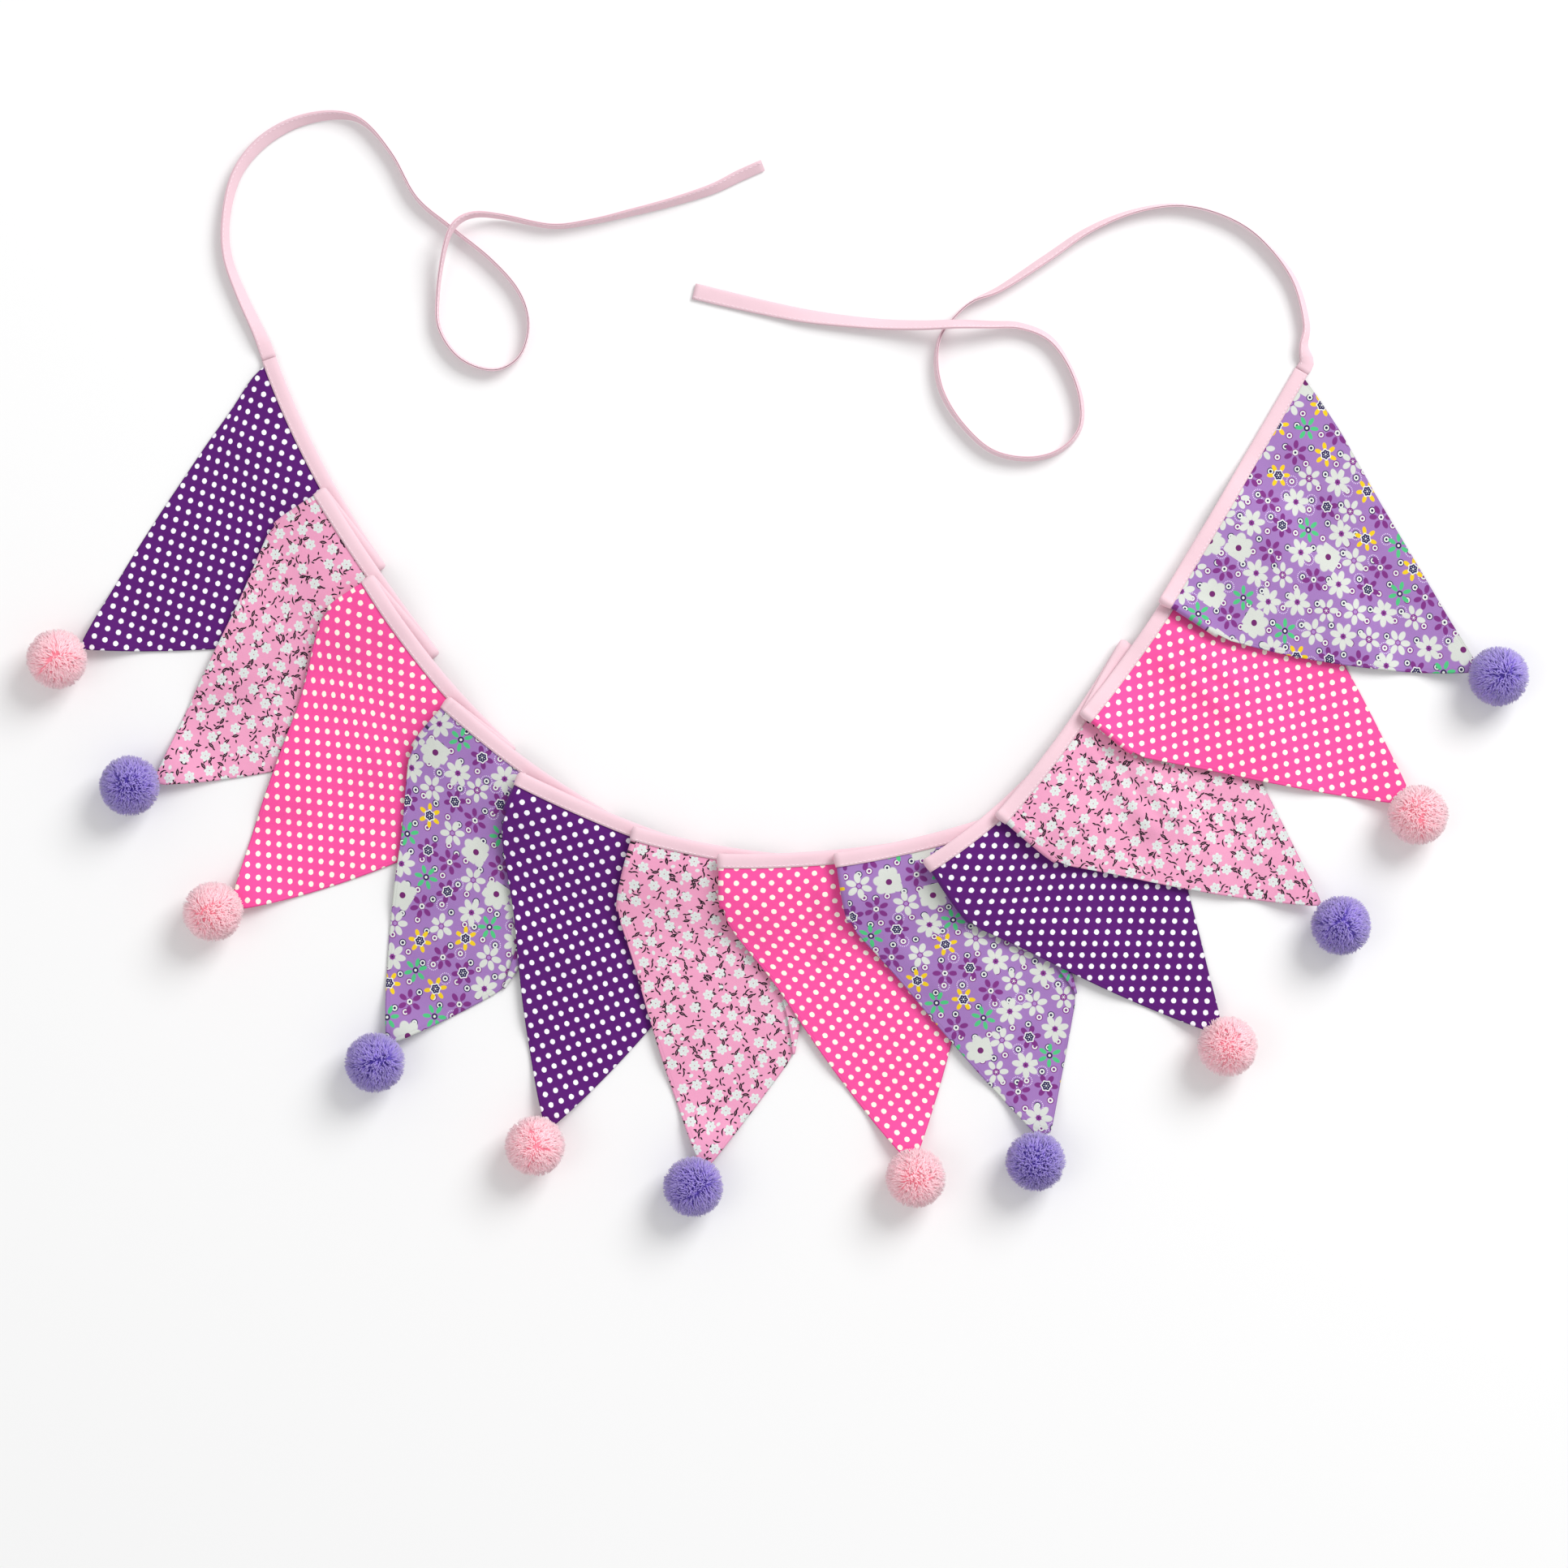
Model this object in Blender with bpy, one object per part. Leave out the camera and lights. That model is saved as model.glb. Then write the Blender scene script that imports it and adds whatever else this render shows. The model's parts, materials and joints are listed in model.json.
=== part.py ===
"""Fabric bunting, lying flat in an arc: twelve double cloth pennants stitched into one folded tape,
the tape pleated on itself between each two pennants, a pompom on each tip and a tie at each end.
Millimetres below, written to the scene in metres. The table top is z = 0."""

import math
import random

import bmesh
import bpy
from mathutils import Vector

MM = 0.001

# Tape
TAPE_WIDTH = 9.6
LEAF = 0.55  # one leaf of the folded tape
SLOT = 3.1  # room between the two leaves
TAPE_THICK = 2 * LEAF + SLOT
TAPE_STEP = 5.1  # between two layers of a pleat, centre to centre

# Cloth
CLOTH = 1.0  # both layers of a pennant together
RAW_EDGE = 2.4  # the raw top edge, in from the tape's fold
CORNER = 4.0  # length of the blunt corner inside the tape
CLOTH_STEP = 2.35  # between two layers of cloth beside a pleat
COVER_MARGIN = 12.0  # how far a pennant stays lifted past the one it lies on
TIP_RISE = 8.5  # a tip climbs to the middle of its pompom
HIDDEN_BOW = 2.5  # of a sewn edge past the pennant's side folds
FREE_BLEND = 26.0  # the first pennant's free edge runs straight from its corner
TAPE_BLEND = 90.0  # down to here the cloth follows the curve of its tape

# Pompoms
POMPOM_HEIGHT = 19.7  # centre above the table
CORE = 16.0
LOCK_REACH = 20.4
LOCKS = 24
TIP_GAP = 0.8

# Ties
TIE_THICK = 2.0
TIE_WIDTH = 10.0
TIE_END_WIDTH = 11.0
JOINT_GAP = 0.45
TIE_CLEAR = 0.15  # under a turning tie

LAYERS_IN_OVERLAP = 5  # steps along one pleat
TURN_STEPS = 4  # steps round one fold

# One row a pennant, in plan. start and end are the folds at its two sides, on the middle of the
# tape, mid is the tape halfway, tip is where its two sides would meet, turned is the width folded
# under at its left, pom is its pompom's centre, bows is how far the left and the right sewn edge
# swell, measured down the cloth.
PENNANTS = [
    # start            mid               end               tip               turned  pom               bows
    ((-339.1, 283.8), (-304.6, 206.6), (-265.7, 144.5), (-465.1, 90.6), 0.0, (-477.4, 84.0), (12.2, 12.5)),
    ((-304.3, 194.8), (-268.4, 139.6), (-230.0, 86.7), (-416.5, 0.6), 18.0, (-429.3, 0.3), (5.6, 17.5)),
    ((-271.6, 136.4), (-235.4, 83.4), (-178.7, 22.4), (-365.4, -83.0), 14.0, (-374.2, -82.9), (12.9, 20.0)),
    ((-220.0, 55.0), (-172.8, 15.9), (-111.2, -24.0), (-260.5, -172.4), 15.0, (-267.3, -182.8), (19.6, 15.9)),
    ((-172.3, 4.9), (-108.0, -24.6), (-40.0, -48.3), (-154.6, -229.7), 9.0, (-161.5, -237.9), (18.0, 17.0)),
    ((-96.3, -31.1), (-37.8, -44.6), (31.3, -51.6), (-50.4, -257.2), 23.0, (-56.7, -264.9), (12.5, 9.7)),
    ((-39.4, -49.4), (27.0, -47.8), (98.3, -38.6), (88.7, -252.4), 12.0, (90.2, -258.9), (20.0, 15.6)),
    ((37.8, -48.9), (102.6, -35.9), (164.2, -16.5), (178.3, -239.3), 18.0, (169.6, -248.1), (10.8, 7.1)),
    ((98.3, -52.4), (149.3, -14.0), (194.4, 33.2), (295.5, -166.4), 19.0, (296.5, -172.0), (15.0, 5.9)),
    ((146.6, -21.3), (186.8, 28.4), (230.6, 94.2), (361.0, -80.0), 19.5, (371.5, -92.1), (14.2, 7.5)),
    ((202.5, 45.6), (242.5, 97.5), (284.6, 165.5), (421.9, -13.4), 17.0, (422.3, -19.2), (9.4, 14.5)),
    ((255.2, 120.7), (298.6, 192.5), (347.2, 275.7), (465.9, 75.5), 16.0, (475.7, 72.6), (19.8, 3.3)),
]

# Soft ridges left in the cloth: pennant, the two ends of the ridge in plan, height, half width.
RIDGES = [
    # pennant  from              to                high  half
    (1, (-351.0, 226.0), (-324.0, 226.0), 2.2, 13.0),
    (1, (-340.0, 199.0), (-302.0, 193.0), 2.0, 13.0),
    (4, (-173.0, -17.0), (-194.0, -49.0), 2.2, 15.0),
    (7, (33.0, -56.0), (35.0, -114.0), 2.4, 14.0),
    (10, (227.0, 21.0), (248.0, -22.0), 2.4, 14.0),
    (11, (259.0, 91.0), (324.0, 53.0), 2.0, 15.0),
]

# Route of each tie past the tape's end, in plan. turn is how far the tape stands up on its edge in
# degrees, lift is its height over the table where it crosses itself.
TIE_LEFT = [
    # x       y      turn  lift
    (-345.6, 301.1, 35.0, 0.0),
    (-358.0, 328.0, 50.0, 0.0),
    (-366.5, 352.0, 60.0, 0.0),
    (-367.5, 377.0, 66.0, 0.0),
    (-360.7, 405.3, 56.0, 0.0),
    (-345.0, 426.5, 45.0, 0.0),
    (-322.0, 440.5, 52.0, 0.0),
    (-296.0, 445.6, 64.0, 0.0),
    (-276.0, 440.5, 80.0, 0.0),
    (-257.0, 419.0, 86.0, 0.0),
    (-241.0, 390.5, 84.0, 0.0),
    (-219.0, 371.5, 84.0, 0.0),
    (-191.5, 349.5, 86.0, 0.0),
    (-173.0, 328.0, 84.0, 0.0),
    (-166.5, 306.5, 88.0, 0.0),
    (-172.5, 285.5, 86.0, 0.0),
    (-189.5, 276.5, 82.0, 0.0),
    (-211.5, 284.0, 84.0, 0.0),
    (-225.5, 303.5, 86.0, 0.0),
    (-226.5, 327.0, 86.0, 1.5),
    (-221.5, 356.5, 82.0, 7.5),
    (-214.6, 371.5, 76.0, 11.2),
    (-202.5, 378.5, 76.0, 7.5),
    (-184.0, 378.0, 80.0, 1.0),
    (-151.0, 371.8, 82.0, 0.0),
    (-124.0, 375.0, 80.0, 0.0),
    (-97.7, 381.0, 72.0, 0.0),
    (-70.7, 388.0, 66.0, 0.0),
    (-44.3, 396.6, 58.0, 0.0),
    (-26.5, 405.3, 50.0, 0.0),
    (-10.8, 412.3, 50.0, 0.0),
]
TIE_RIGHT = [
    # x       y      turn  lift
    (348.6, 292.4, 52.0, 0.0),
    (350.2, 308.1, 60.0, 0.0),
    (341.3, 337.8, 66.0, 0.0),
    (319.1, 364.2, 80.0, 0.0),
    (294.8, 378.8, 84.0, 0.0),
    (265.7, 385.8, 78.0, 0.0),
    (234.9, 381.5, 72.0, 0.0),
    (205.0, 369.0, 64.0, 0.0),
    (177.1, 350.2, 58.0, 0.0),
    (147.0, 330.5, 66.0, 0.0),
    (128.5, 322.1, 84.0, 0.0),
    (116.5, 311.5, 88.0, 0.0),
    (107.0, 298.6, 86.0, 0.0),
    (104.2, 281.1, 80.0, 0.0),
    (108.5, 260.5, 78.0, 0.0),
    (121.5, 240.0, 82.0, 0.0),
    (141.0, 222.5, 82.0, 0.0),
    (165.0, 217.2, 80.0, 0.0),
    (186.0, 222.4, 80.0, 0.0),
    (199.5, 236.8, 78.0, 0.0),
    (200.5, 257.0, 74.0, 0.0),
    (192.5, 279.5, 76.0, 0.0),
    (179.5, 297.5, 66.0, 0.0),
    (160.0, 305.6, 62.0, 0.8),
    (139.9, 305.9, 58.0, 5.5),
    (117.7, 305.9, 52.0, 10.6),
    (95.6, 305.6, 48.0, 6.0),
    (70.0, 306.6, 43.0, 1.2),
    (42.1, 309.2, 34.0, 0.0),
    (17.8, 312.4, 20.0, 0.0),
    (-4.3, 316.7, 7.0, 0.0),
    (-32.9, 323.2, 0.0, 0.0),
    (-56.7, 329.0, 0.0, 0.0),
]

CLOTH_COLOURS = {
    "purple": (0.095, 0.012, 0.170),
    "rose": (0.930, 0.390, 0.570),
    "pink": (1.000, 0.095, 0.400),
    "lilac": (0.400, 0.225, 0.610),
}
PRINTS = ["purple", "rose", "pink", "lilac"]
TAPE_COLOUR = (0.930, 0.660, 0.770)
YARN_COLOURS = [(0.960, 0.340, 0.430), (0.220, 0.155, 0.580)]


def clear_scene():
    for thing in list(bpy.data.objects):
        bpy.data.objects.remove(thing, do_unlink=True)


def ease(x):
    """0 to 1 on two parabolas, which keeps the bend of the cloth as slight as it can be."""
    x = min(max(x, 0.0), 1.0)
    return 2 * x * x if x < 0.5 else 1 - 2 * (1 - x) ** 2


def mix(a, b, share):
    return a * (1 - share) + b * share


class Pennant:
    """The plan of one pennant: its tape, its two side folds and its flat triangle."""

    def __init__(self, row):
        start, mid, end, tip, self.turned, pom, self.bows = row
        self.start, self.end, self.tip = Vector(start), Vector(end), Vector(tip)
        self.pom = Vector(pom)
        self.chord = self.end - self.start
        self.length = self.chord.length
        self.along = self.chord.normalized()
        out = Vector((self.along.y, -self.along.x))
        self.out = out if out.dot(self.tip - self.start) > 0 else -out
        self.sag = (Vector(mid) - (self.start + self.end) / 2).dot(self.out)
        self.folded = 0.0
        self.back = None
        self.width = 0.0

    def settle(self):
        """What follows once the right fold is known."""
        self.width = self.turned + self.length + self.folded
        self.middle = self.width / 2
        axis = self.tip - (self.start + self.along * (self.middle - self.turned))
        self.down = axis.normalized()
        self.height = axis.length + TAPE_WIDTH / 2
        level = POMPOM_HEIGHT - TIP_RISE - CLOTH
        self.stop = math.sqrt((CORE + TIP_GAP + CLOTH) ** 2 - level**2)
        tip_to_pom = (self.pom - self.tip).dot(self.down)
        self.cut = max(self.stop - tip_to_pom, 3.0)
        self.tip_half = self.width / 2 * self.cut / self.height
        self.outline = [
            self.plan(self.turned, 0.0),
            self.plan(self.turned + self.length, 0.0),
            self.plan(self.turned + self.length, self.reach(self.turned + self.length)),
            self.tip,
            self.plan(self.turned, self.reach(self.turned)),
        ]

    def reach(self, u):
        """How far down the cloth goes at u along its top edge."""
        share = max(1 - abs(u - self.middle) / (self.width / 2 - 1), 0.0)
        hidden = max(self.turned - u, u - self.turned - self.length, 0.0)
        bow = mix(self.bows[u > self.middle], HIDDEN_BOW, ease(hidden / 12))
        swell = bow * 4 * share * (1 - share)
        return min(CORNER + (self.height - CORNER) * share + swell, self.height - self.cut)

    def tangent(self, share):
        return (self.chord + self.out * (4 * (1 - 2 * share) * self.sag)).normalized()

    def plan(self, u, y):
        """Plan position of the point u along the top edge and y down from the tape's fold."""
        share = (u - self.turned) / self.length
        on_chord = self.start + self.chord * share
        on_tape = on_chord + self.out * (4 * share * (1 - share) * self.sag)
        t = self.tangent(share)
        n = Vector((t.y, -t.x))
        if n.dot(self.out) < 0:
            n = -n
        near = on_tape + n * (y - TAPE_WIDTH / 2)
        flat = on_chord + self.down * (y - TAPE_WIDTH / 2)
        span = TAPE_BLEND if self.turned else mix(FREE_BLEND, TAPE_BLEND, ease(share / 0.3))
        return near.lerp(flat, ease((y - 12) / span))

    def depth(self, point):
        return (point - self.start).dot(self.out) + TAPE_WIDTH / 2

    def outside(self, point):
        """Distance outside the pennant's visible outline, negative inside."""
        far = -1e9
        corners = self.outline
        for a, b in zip(corners, corners[1:] + corners[:1]):
            side = (b - a).normalized()
            normal = Vector((side.y, -side.x))
            if normal.dot(corners[3] - a if b is not corners[3] and a is not corners[3] else corners[0] - a) > 0:
                normal = -normal
            far = max(far, (point - a).dot(normal))
        return far


def make_pennants():
    found = [Pennant(row) for row in PENNANTS]
    for left, right in zip(found, found[1:]):
        gap = right.start - left.end
        left.back = gap.normalized()
        left.overlap = gap.length
        left.folded = left.overlap - right.turned
        normal = Vector((left.back.y, -left.back.x))
        left.pleat_out = normal if normal.dot(left.out) > 0 else -normal
        left.pleat_at = right.start.copy()
    for pennant in found:
        pennant.settle()
    return found


def rest_height(pennant, point):
    """Centre of a layer that lies on the table: the tape is thicker than the cloth."""
    return mix(TAPE_THICK / 2, CLOTH / 2, ease((pennant.depth(point) - 15) / 22))


def pleat_step(pennant, point):
    """From one pennant's layer to the next one's, with the folded layer between them."""
    depth = (point - pennant.pleat_at).dot(pennant.pleat_out)
    return 2 * mix(TAPE_STEP, CLOTH_STEP, ease((depth - 12) / 62))


def ridge_height(number, point):
    high = 0.0
    for which, a, b, size, half in RIDGES:
        if which != number:
            continue
        a, b = Vector(a), Vector(b)
        run = b - a
        share = min(max((point - a).dot(run) / run.length_squared, 0.0), 1.0)
        high += size * math.exp(-(((point - a - run * share).length / half) ** 2))
    return high


def cover(pennant, point):
    depth = (point - pennant.start).dot(pennant.out)
    fall = mix(60, 36, ease((depth - 20) / 60))
    return 1 - ease((pennant.outside(point) - COVER_MARGIN) / fall)


def height_of(flags, index, point):
    """Centre height of pennant index at a plan point, lying on those before it."""
    heights = {}
    first = max(0, index - 5)
    for k in range(first, index + 1):
        level = floor = rest_height(flags[k], point)
        for below in (k - 1, k - 2):
            if below < first:
                continue
            share = cover(flags[below], point)
            if share > 0:
                on_top = heights[below] + pleat_step(flags[below], point)
                level = max(level, mix(floor, on_top, share))
        away = ease((flags[k].depth(point) - 14) / 20)
        heights[k] = level + away * ridge_height(k + 1, point)
    return heights[index]


def tip_lift(pennant, y):
    return TIP_RISE * ease((y - pennant.height + 46) / 40)


def columns_of(flags, index):
    """Columns of one pennant from its left corner to its right: the kind of layer, where on it,
    and the distance u along the cloth's top edge."""
    pennant = flags[index]
    left, right = pennant.turned, pennant.turned + pennant.length
    found = []
    if index > 0:
        overlap = flags[index - 1].overlap
        steps = [overlap * k / LAYERS_IN_OVERLAP for k in range(LAYERS_IN_OVERLAP - 1, 0, -1)]
        steps = [away for away in steps if 4 < away < pennant.turned - 5] or [pennant.turned / 2]
        found += [("left", away, left - away) for away in [pennant.turned - 1] + steps]
        found += [("turn_start", 180 * k / TURN_STEPS, left) for k in range(TURN_STEPS + 1)]
    else:
        found.append(("front", 0.0, 0.0))
        found.append(("front", 1.0, 1.0))
    marks = [pennant.middle - pennant.tip_half, pennant.middle + pennant.tip_half]
    wanted = []
    for k in range(1, LAYERS_IN_OVERLAP + 1):
        if index > 0:
            wanted.append(left + flags[index - 1].overlap * k / LAYERS_IN_OVERLAP)
        if index + 1 < len(flags):
            wanted.append(right - pennant.overlap * k / LAYERS_IN_OVERLAP)
    for u in sorted(wanted):
        if left + 5 < u < right - 5 and all(abs(u - m) > 4.5 for m in marks):
            marks.append(u)
    marks = sorted(marks)
    edges = [left + 2] + marks + [right - 2]
    for a, b in zip(edges, edges[1:]):
        more = int((b - a) / 13.5)
        marks += [a + (b - a) * k / (more + 1) for k in range(1, more + 1)]
    found += [("front", u, u) for u in sorted(marks)]
    if index + 1 < len(flags):
        found += [("turn_end", 180 * k / TURN_STEPS, right) for k in range(TURN_STEPS + 1)]
        for k in range(1, LAYERS_IN_OVERLAP):
            away = pennant.overlap * k / LAYERS_IN_OVERLAP
            if 4 < away < pennant.folded - 5:
                found.append(("right", away, right + away))
        found.append(("right", pennant.folded - 1, pennant.width - 1))
    else:
        found.append(("front", right - 1, right - 1))
        found.append(("front", right, right))
    return found


def place(flags, index, column, y, off):
    """Point of a pennant's cloth or tape, off its middle surface towards the printed side."""
    kind, where, u = column
    pennant = flags[index]
    if kind == "front":
        point = pennant.plan(where, y)
        z = height_of(flags, index, point) + tip_lift(pennant, y) + off
    elif kind in ("right", "left"):
        if kind == "right":
            point = pennant.plan(u - where, y) + pennant.back * where
            under = index
        else:
            point = pennant.plan(u + where, y) - flags[index - 1].back * where
            under = index - 1
        z = (height_of(flags, under, point) + height_of(flags, under + 1, point)) / 2 - off
    else:
        at_end = kind == "turn_end"
        fold = pennant.plan(u, y)
        under = index if at_end else index - 1
        low, high = height_of(flags, under, fold), height_of(flags, under + 1, fold)
        half = (high - low) / 4
        base = low if at_end else (low + high) / 2
        radius = half - off if at_end else half + off
        angle = math.radians(where)
        inward = half - radius * math.sin(angle)
        z = base + half - radius * math.cos(angle)
        if at_end:
            way = -pennant.tangent(1) if where < 90 else pennant.back
        else:
            way = -flags[index - 1].back if where < 90 else pennant.tangent(0)
        point = fold + way * inward
    return Vector((point.x, point.y, z)) * MM


def rows_of(pennant, u):
    """Rows down a column: the raw edge, the tape's edge, then spreading to the edge."""
    end = pennant.reach(u)
    if end < 14:
        return [RAW_EDGE + (end - RAW_EDGE) * k / 5 for k in range(6)]
    first, second = min(TAPE_WIDTH, end * 0.6), min(31.0, (TAPE_WIDTH + end) / 2)
    rest = end - second
    return [RAW_EDGE, first, second, second + rest * 0.36, second + rest * 0.7, end]


def grid_object(name, across, down, point_at, thickness, material):
    """A grid of cloth put in place point by point, then given its thickness."""
    bm = bmesh.new()
    bmesh.ops.create_grid(bm, x_segments=across - 1, y_segments=down - 1, size=0.5)
    for vert in bm.verts:
        column = round((vert.co.x + 0.5) * (across - 1))
        row = round((vert.co.y + 0.5) * (down - 1))
        vert.co = point_at(column, row)
    mesh = bpy.data.meshes.new(name)
    bm.to_mesh(mesh)
    bm.free()
    mesh.materials.append(material)
    mesh.shade_smooth()
    thing = bpy.data.objects.new(name, mesh)
    bpy.context.scene.collection.objects.link(thing)
    solid = thing.modifiers.new("thickness", "SOLIDIFY")
    solid.thickness = thickness * MM
    solid.offset = 0
    solid.use_even_offset = True
    solid.use_quality_normals = True
    return thing


def material_of(name, colour, roughness):
    material = bpy.data.materials.new(name)
    material.use_nodes = True
    surface = material.node_tree.nodes["Principled BSDF"]
    surface.inputs["Base Color"].default_value = (*colour, 1)
    surface.inputs["Roughness"].default_value = roughness
    surface.inputs["Metallic"].default_value = 0
    return material


def make_pennant_cloth(flags, index, material):
    columns = columns_of(flags, index)
    # the cloth starts a little in from its corners, so neighbours don't touch in the tape
    columns = [c for c in columns if 1.0 <= c[2] <= flags[index].width - 1.0]
    rows = [rows_of(flags[index], c[2]) for c in columns]
    return grid_object(
        f"pennant_{index + 1:02d}",
        len(columns),
        6,
        lambda i, j: place(flags, index, columns[i], rows[i][j], 0.0),
        CLOTH,
        material,
    )


def make_binding(flags, material):
    """One tape from the first pennant's outer corner to the last one's, folded over them all."""
    stations = [(k, c) for k in range(len(flags)) for c in columns_of(flags, k)]
    off = (SLOT + LEAF) / 2
    section = [(TAPE_WIDTH, -off), (LEAF / 2, -off), (LEAF / 2, off), (TAPE_WIDTH, off)]
    return grid_object(
        "binding",
        len(stations),
        len(section),
        lambda i, j: place(flags, stations[i][0], stations[i][1], *section[j]),
        LEAF,
        material,
    )


def smooth_route(points, step):
    """Points a step apart on a smooth curve through the given ones."""
    fine = []
    count = len(points)
    for i in range(count - 1):
        p0, p1 = points[max(i - 1, 0)], points[i]
        p2, p3 = points[i + 1], points[min(i + 2, count - 1)]
        for k in range(24):
            t = k / 24
            fine.append(
                [
                    0.5 * (2 * b + (c - a) * t + (2 * a - 5 * b + 4 * c - d) * t * t + (3 * b - a - 3 * c + d) * t**3)
                    for a, b, c, d in zip(p0, p1, p2, p3)
                ]
            )
    fine.append(list(points[-1]))
    run = [0.0]
    for a, b in zip(fine, fine[1:]):
        run.append(run[-1] + math.dist(a[:2], b[:2]))
    steps = max(2, round(run[-1] / step))
    found, at = [], 0
    for k in range(steps + 1):
        want = run[-1] * k / steps
        while at < len(run) - 2 and run[at + 1] < want:
            at += 1
        share = (want - run[at]) / max(run[at + 1] - run[at], 1e-9)
        found.append([a + (b - a) * share for a, b in zip(fine[at], fine[at + 1])])
    return found, run[-1]


def make_tie(name, start, heading, rows, material):
    """A flat tie: width across, turned up on its edge where the table says so."""
    first = start + heading * JOINT_GAP
    second = start + heading * (JOINT_GAP + 7)
    route = [(first.x, first.y, 0.0, 0.4), (second.x, second.y, 8.0, 0.3)] + rows
    stations, length = smooth_route(route, 9.6)

    def point_at(column, row):
        x, y, turn, lift = stations[column]
        before, after = stations[max(column - 1, 0)], stations[min(column + 1, len(stations) - 1)]
        run = Vector((after[0] - before[0], after[1] - before[1])).normalized()
        if column == 0:
            run = heading
        angle = math.radians(turn)
        left = length * (len(stations) - 1 - column) / (len(stations) - 1)
        width = mix(TIE_END_WIDTH, TIE_WIDTH, ease(left / 70)) if turn < 20 else TIE_WIDTH
        side = 0.5 * width * (1 if row else -1)
        low = 0.5 * (width * abs(math.sin(angle)) + TIE_THICK * abs(math.cos(angle))) + TIE_CLEAR
        return (
            Vector(
                (
                    x - run.y * side * math.cos(angle),
                    y + run.x * side * math.cos(angle),
                    low + lift + side * math.sin(angle),
                )
            )
            * MM
        )

    return grid_object(name, len(stations), 2, point_at, TIE_THICK, material)


def choose_locks(bm, centre_way, seed):
    """Faces that grow a lock: no two share an edge, and none faces the cloth's tip."""
    free = [f for f in bm.faces if f.calc_center_median().normalized().angle(centre_way) > math.radians(47)]
    lowest = min(free, key=lambda face: face.calc_center_median().z)
    for attempt in range(200):
        order = list(free)
        random.Random(seed * 1000 + attempt).shuffle(order)
        order.sort(key=lambda face: face is not lowest)
        taken = set()
        for face in order:
            near = {other for edge in face.edges for other in edge.link_faces}
            if not near & taken:
                taken.add(face)
            if len(taken) == LOCKS:
                return lowest, sorted(taken, key=lambda f: f.index)
    raise ValueError("too few faces for the locks")


def make_pompom(index, pennant, material):
    """A lumpy ball of yarn with locks standing out of it, the lowest ones ending on the table."""
    chance = random.Random(40 + index)
    bm = bmesh.new()
    bmesh.ops.create_icosphere(bm, subdivisions=2, radius=CORE)
    turn = chance.uniform(0, math.pi)
    for vert in bm.verts:
        x, y, z = vert.co
        lump = 1 + chance.uniform(-0.035, 0.02)
        vert.co = Vector((x * math.cos(turn) - y * math.sin(turn), x * math.sin(turn) + y * math.cos(turn), z)) * lump
    bm.faces.index_update()
    bm.faces.ensure_lookup_table()
    level = TIP_RISE + CLOTH - POMPOM_HEIGHT
    to_tip = -pennant.down * pennant.stop
    lowest, faces = choose_locks(bm, Vector((to_tip.x, to_tip.y, level)), index + 3)
    under = lowest.calc_center_median()
    made = bmesh.ops.extrude_discrete_faces(bm, faces=faces)["faces"]
    for face in made:
        centre = face.calc_center_median()
        way = (centre.normalized() + Vector([chance.uniform(-0.1, 0.1) for _ in range(3)])).normalized()
        reach = LOCK_REACH * chance.uniform(0.965, 1.0)
        if (centre - under).length < 1e-3:  # the lock that it stands on
            way = (centre.normalized() * 0.3 + Vector((0, 0, -1))).normalized()
            reach = LOCK_REACH
        if way.z < 0:
            reach = min(reach, POMPOM_HEIGHT / -way.z)
        for vert in face.verts:
            vert.co = way * reach + (vert.co - centre) * 0.42
            vert.co.z = max(vert.co.z, -POMPOM_HEIGHT)
    bmesh.ops.recalc_face_normals(bm, faces=bm.faces)
    mesh = bpy.data.meshes.new(f"pompom_{index + 1:02d}")
    bmesh.ops.scale(bm, vec=(MM, MM, MM), verts=bm.verts)
    bm.to_mesh(mesh)
    bm.free()
    mesh.materials.append(material)
    thing = bpy.data.objects.new(mesh.name, mesh)
    thing.location = (pennant.pom.x * MM, pennant.pom.y * MM, POMPOM_HEIGHT * MM)
    bpy.context.scene.collection.objects.link(thing)
    return thing


def main():
    clear_scene()
    flags = make_pennants()
    cloths = {name: material_of(f"cloth {name}", colour, 0.85) for name, colour in CLOTH_COLOURS.items()}
    tape = material_of("tape", TAPE_COLOUR, 0.8)
    yarns = [material_of(f"yarn {k}", colour, 0.95) for k, colour in enumerate(YARN_COLOURS)]
    for index, pennant in enumerate(flags):
        make_pennant_cloth(flags, index, cloths[PRINTS[index % 4]])
        make_pompom(index, pennant, yarns[index % 2])
    make_binding(flags, tape)
    first, last = flags[0], flags[-1]
    make_tie("tie_left", first.plan(0.0, TAPE_WIDTH / 2), -first.tangent(0), TIE_LEFT, tape)
    make_tie("tie_right", last.plan(last.turned + last.length, TAPE_WIDTH / 2), last.tangent(1), TIE_RIGHT, tape)


main()
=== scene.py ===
"""Dressed fabric bunting: twelve printed cotton pennants pleated along one folded tape, yarn pompoms
on their tips and a loose tie at each end. Millimetres in the tables, metres in the scene."""

import json
import math
import random

import bmesh
import bpy
from mathutils import Matrix, Vector, noise

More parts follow.
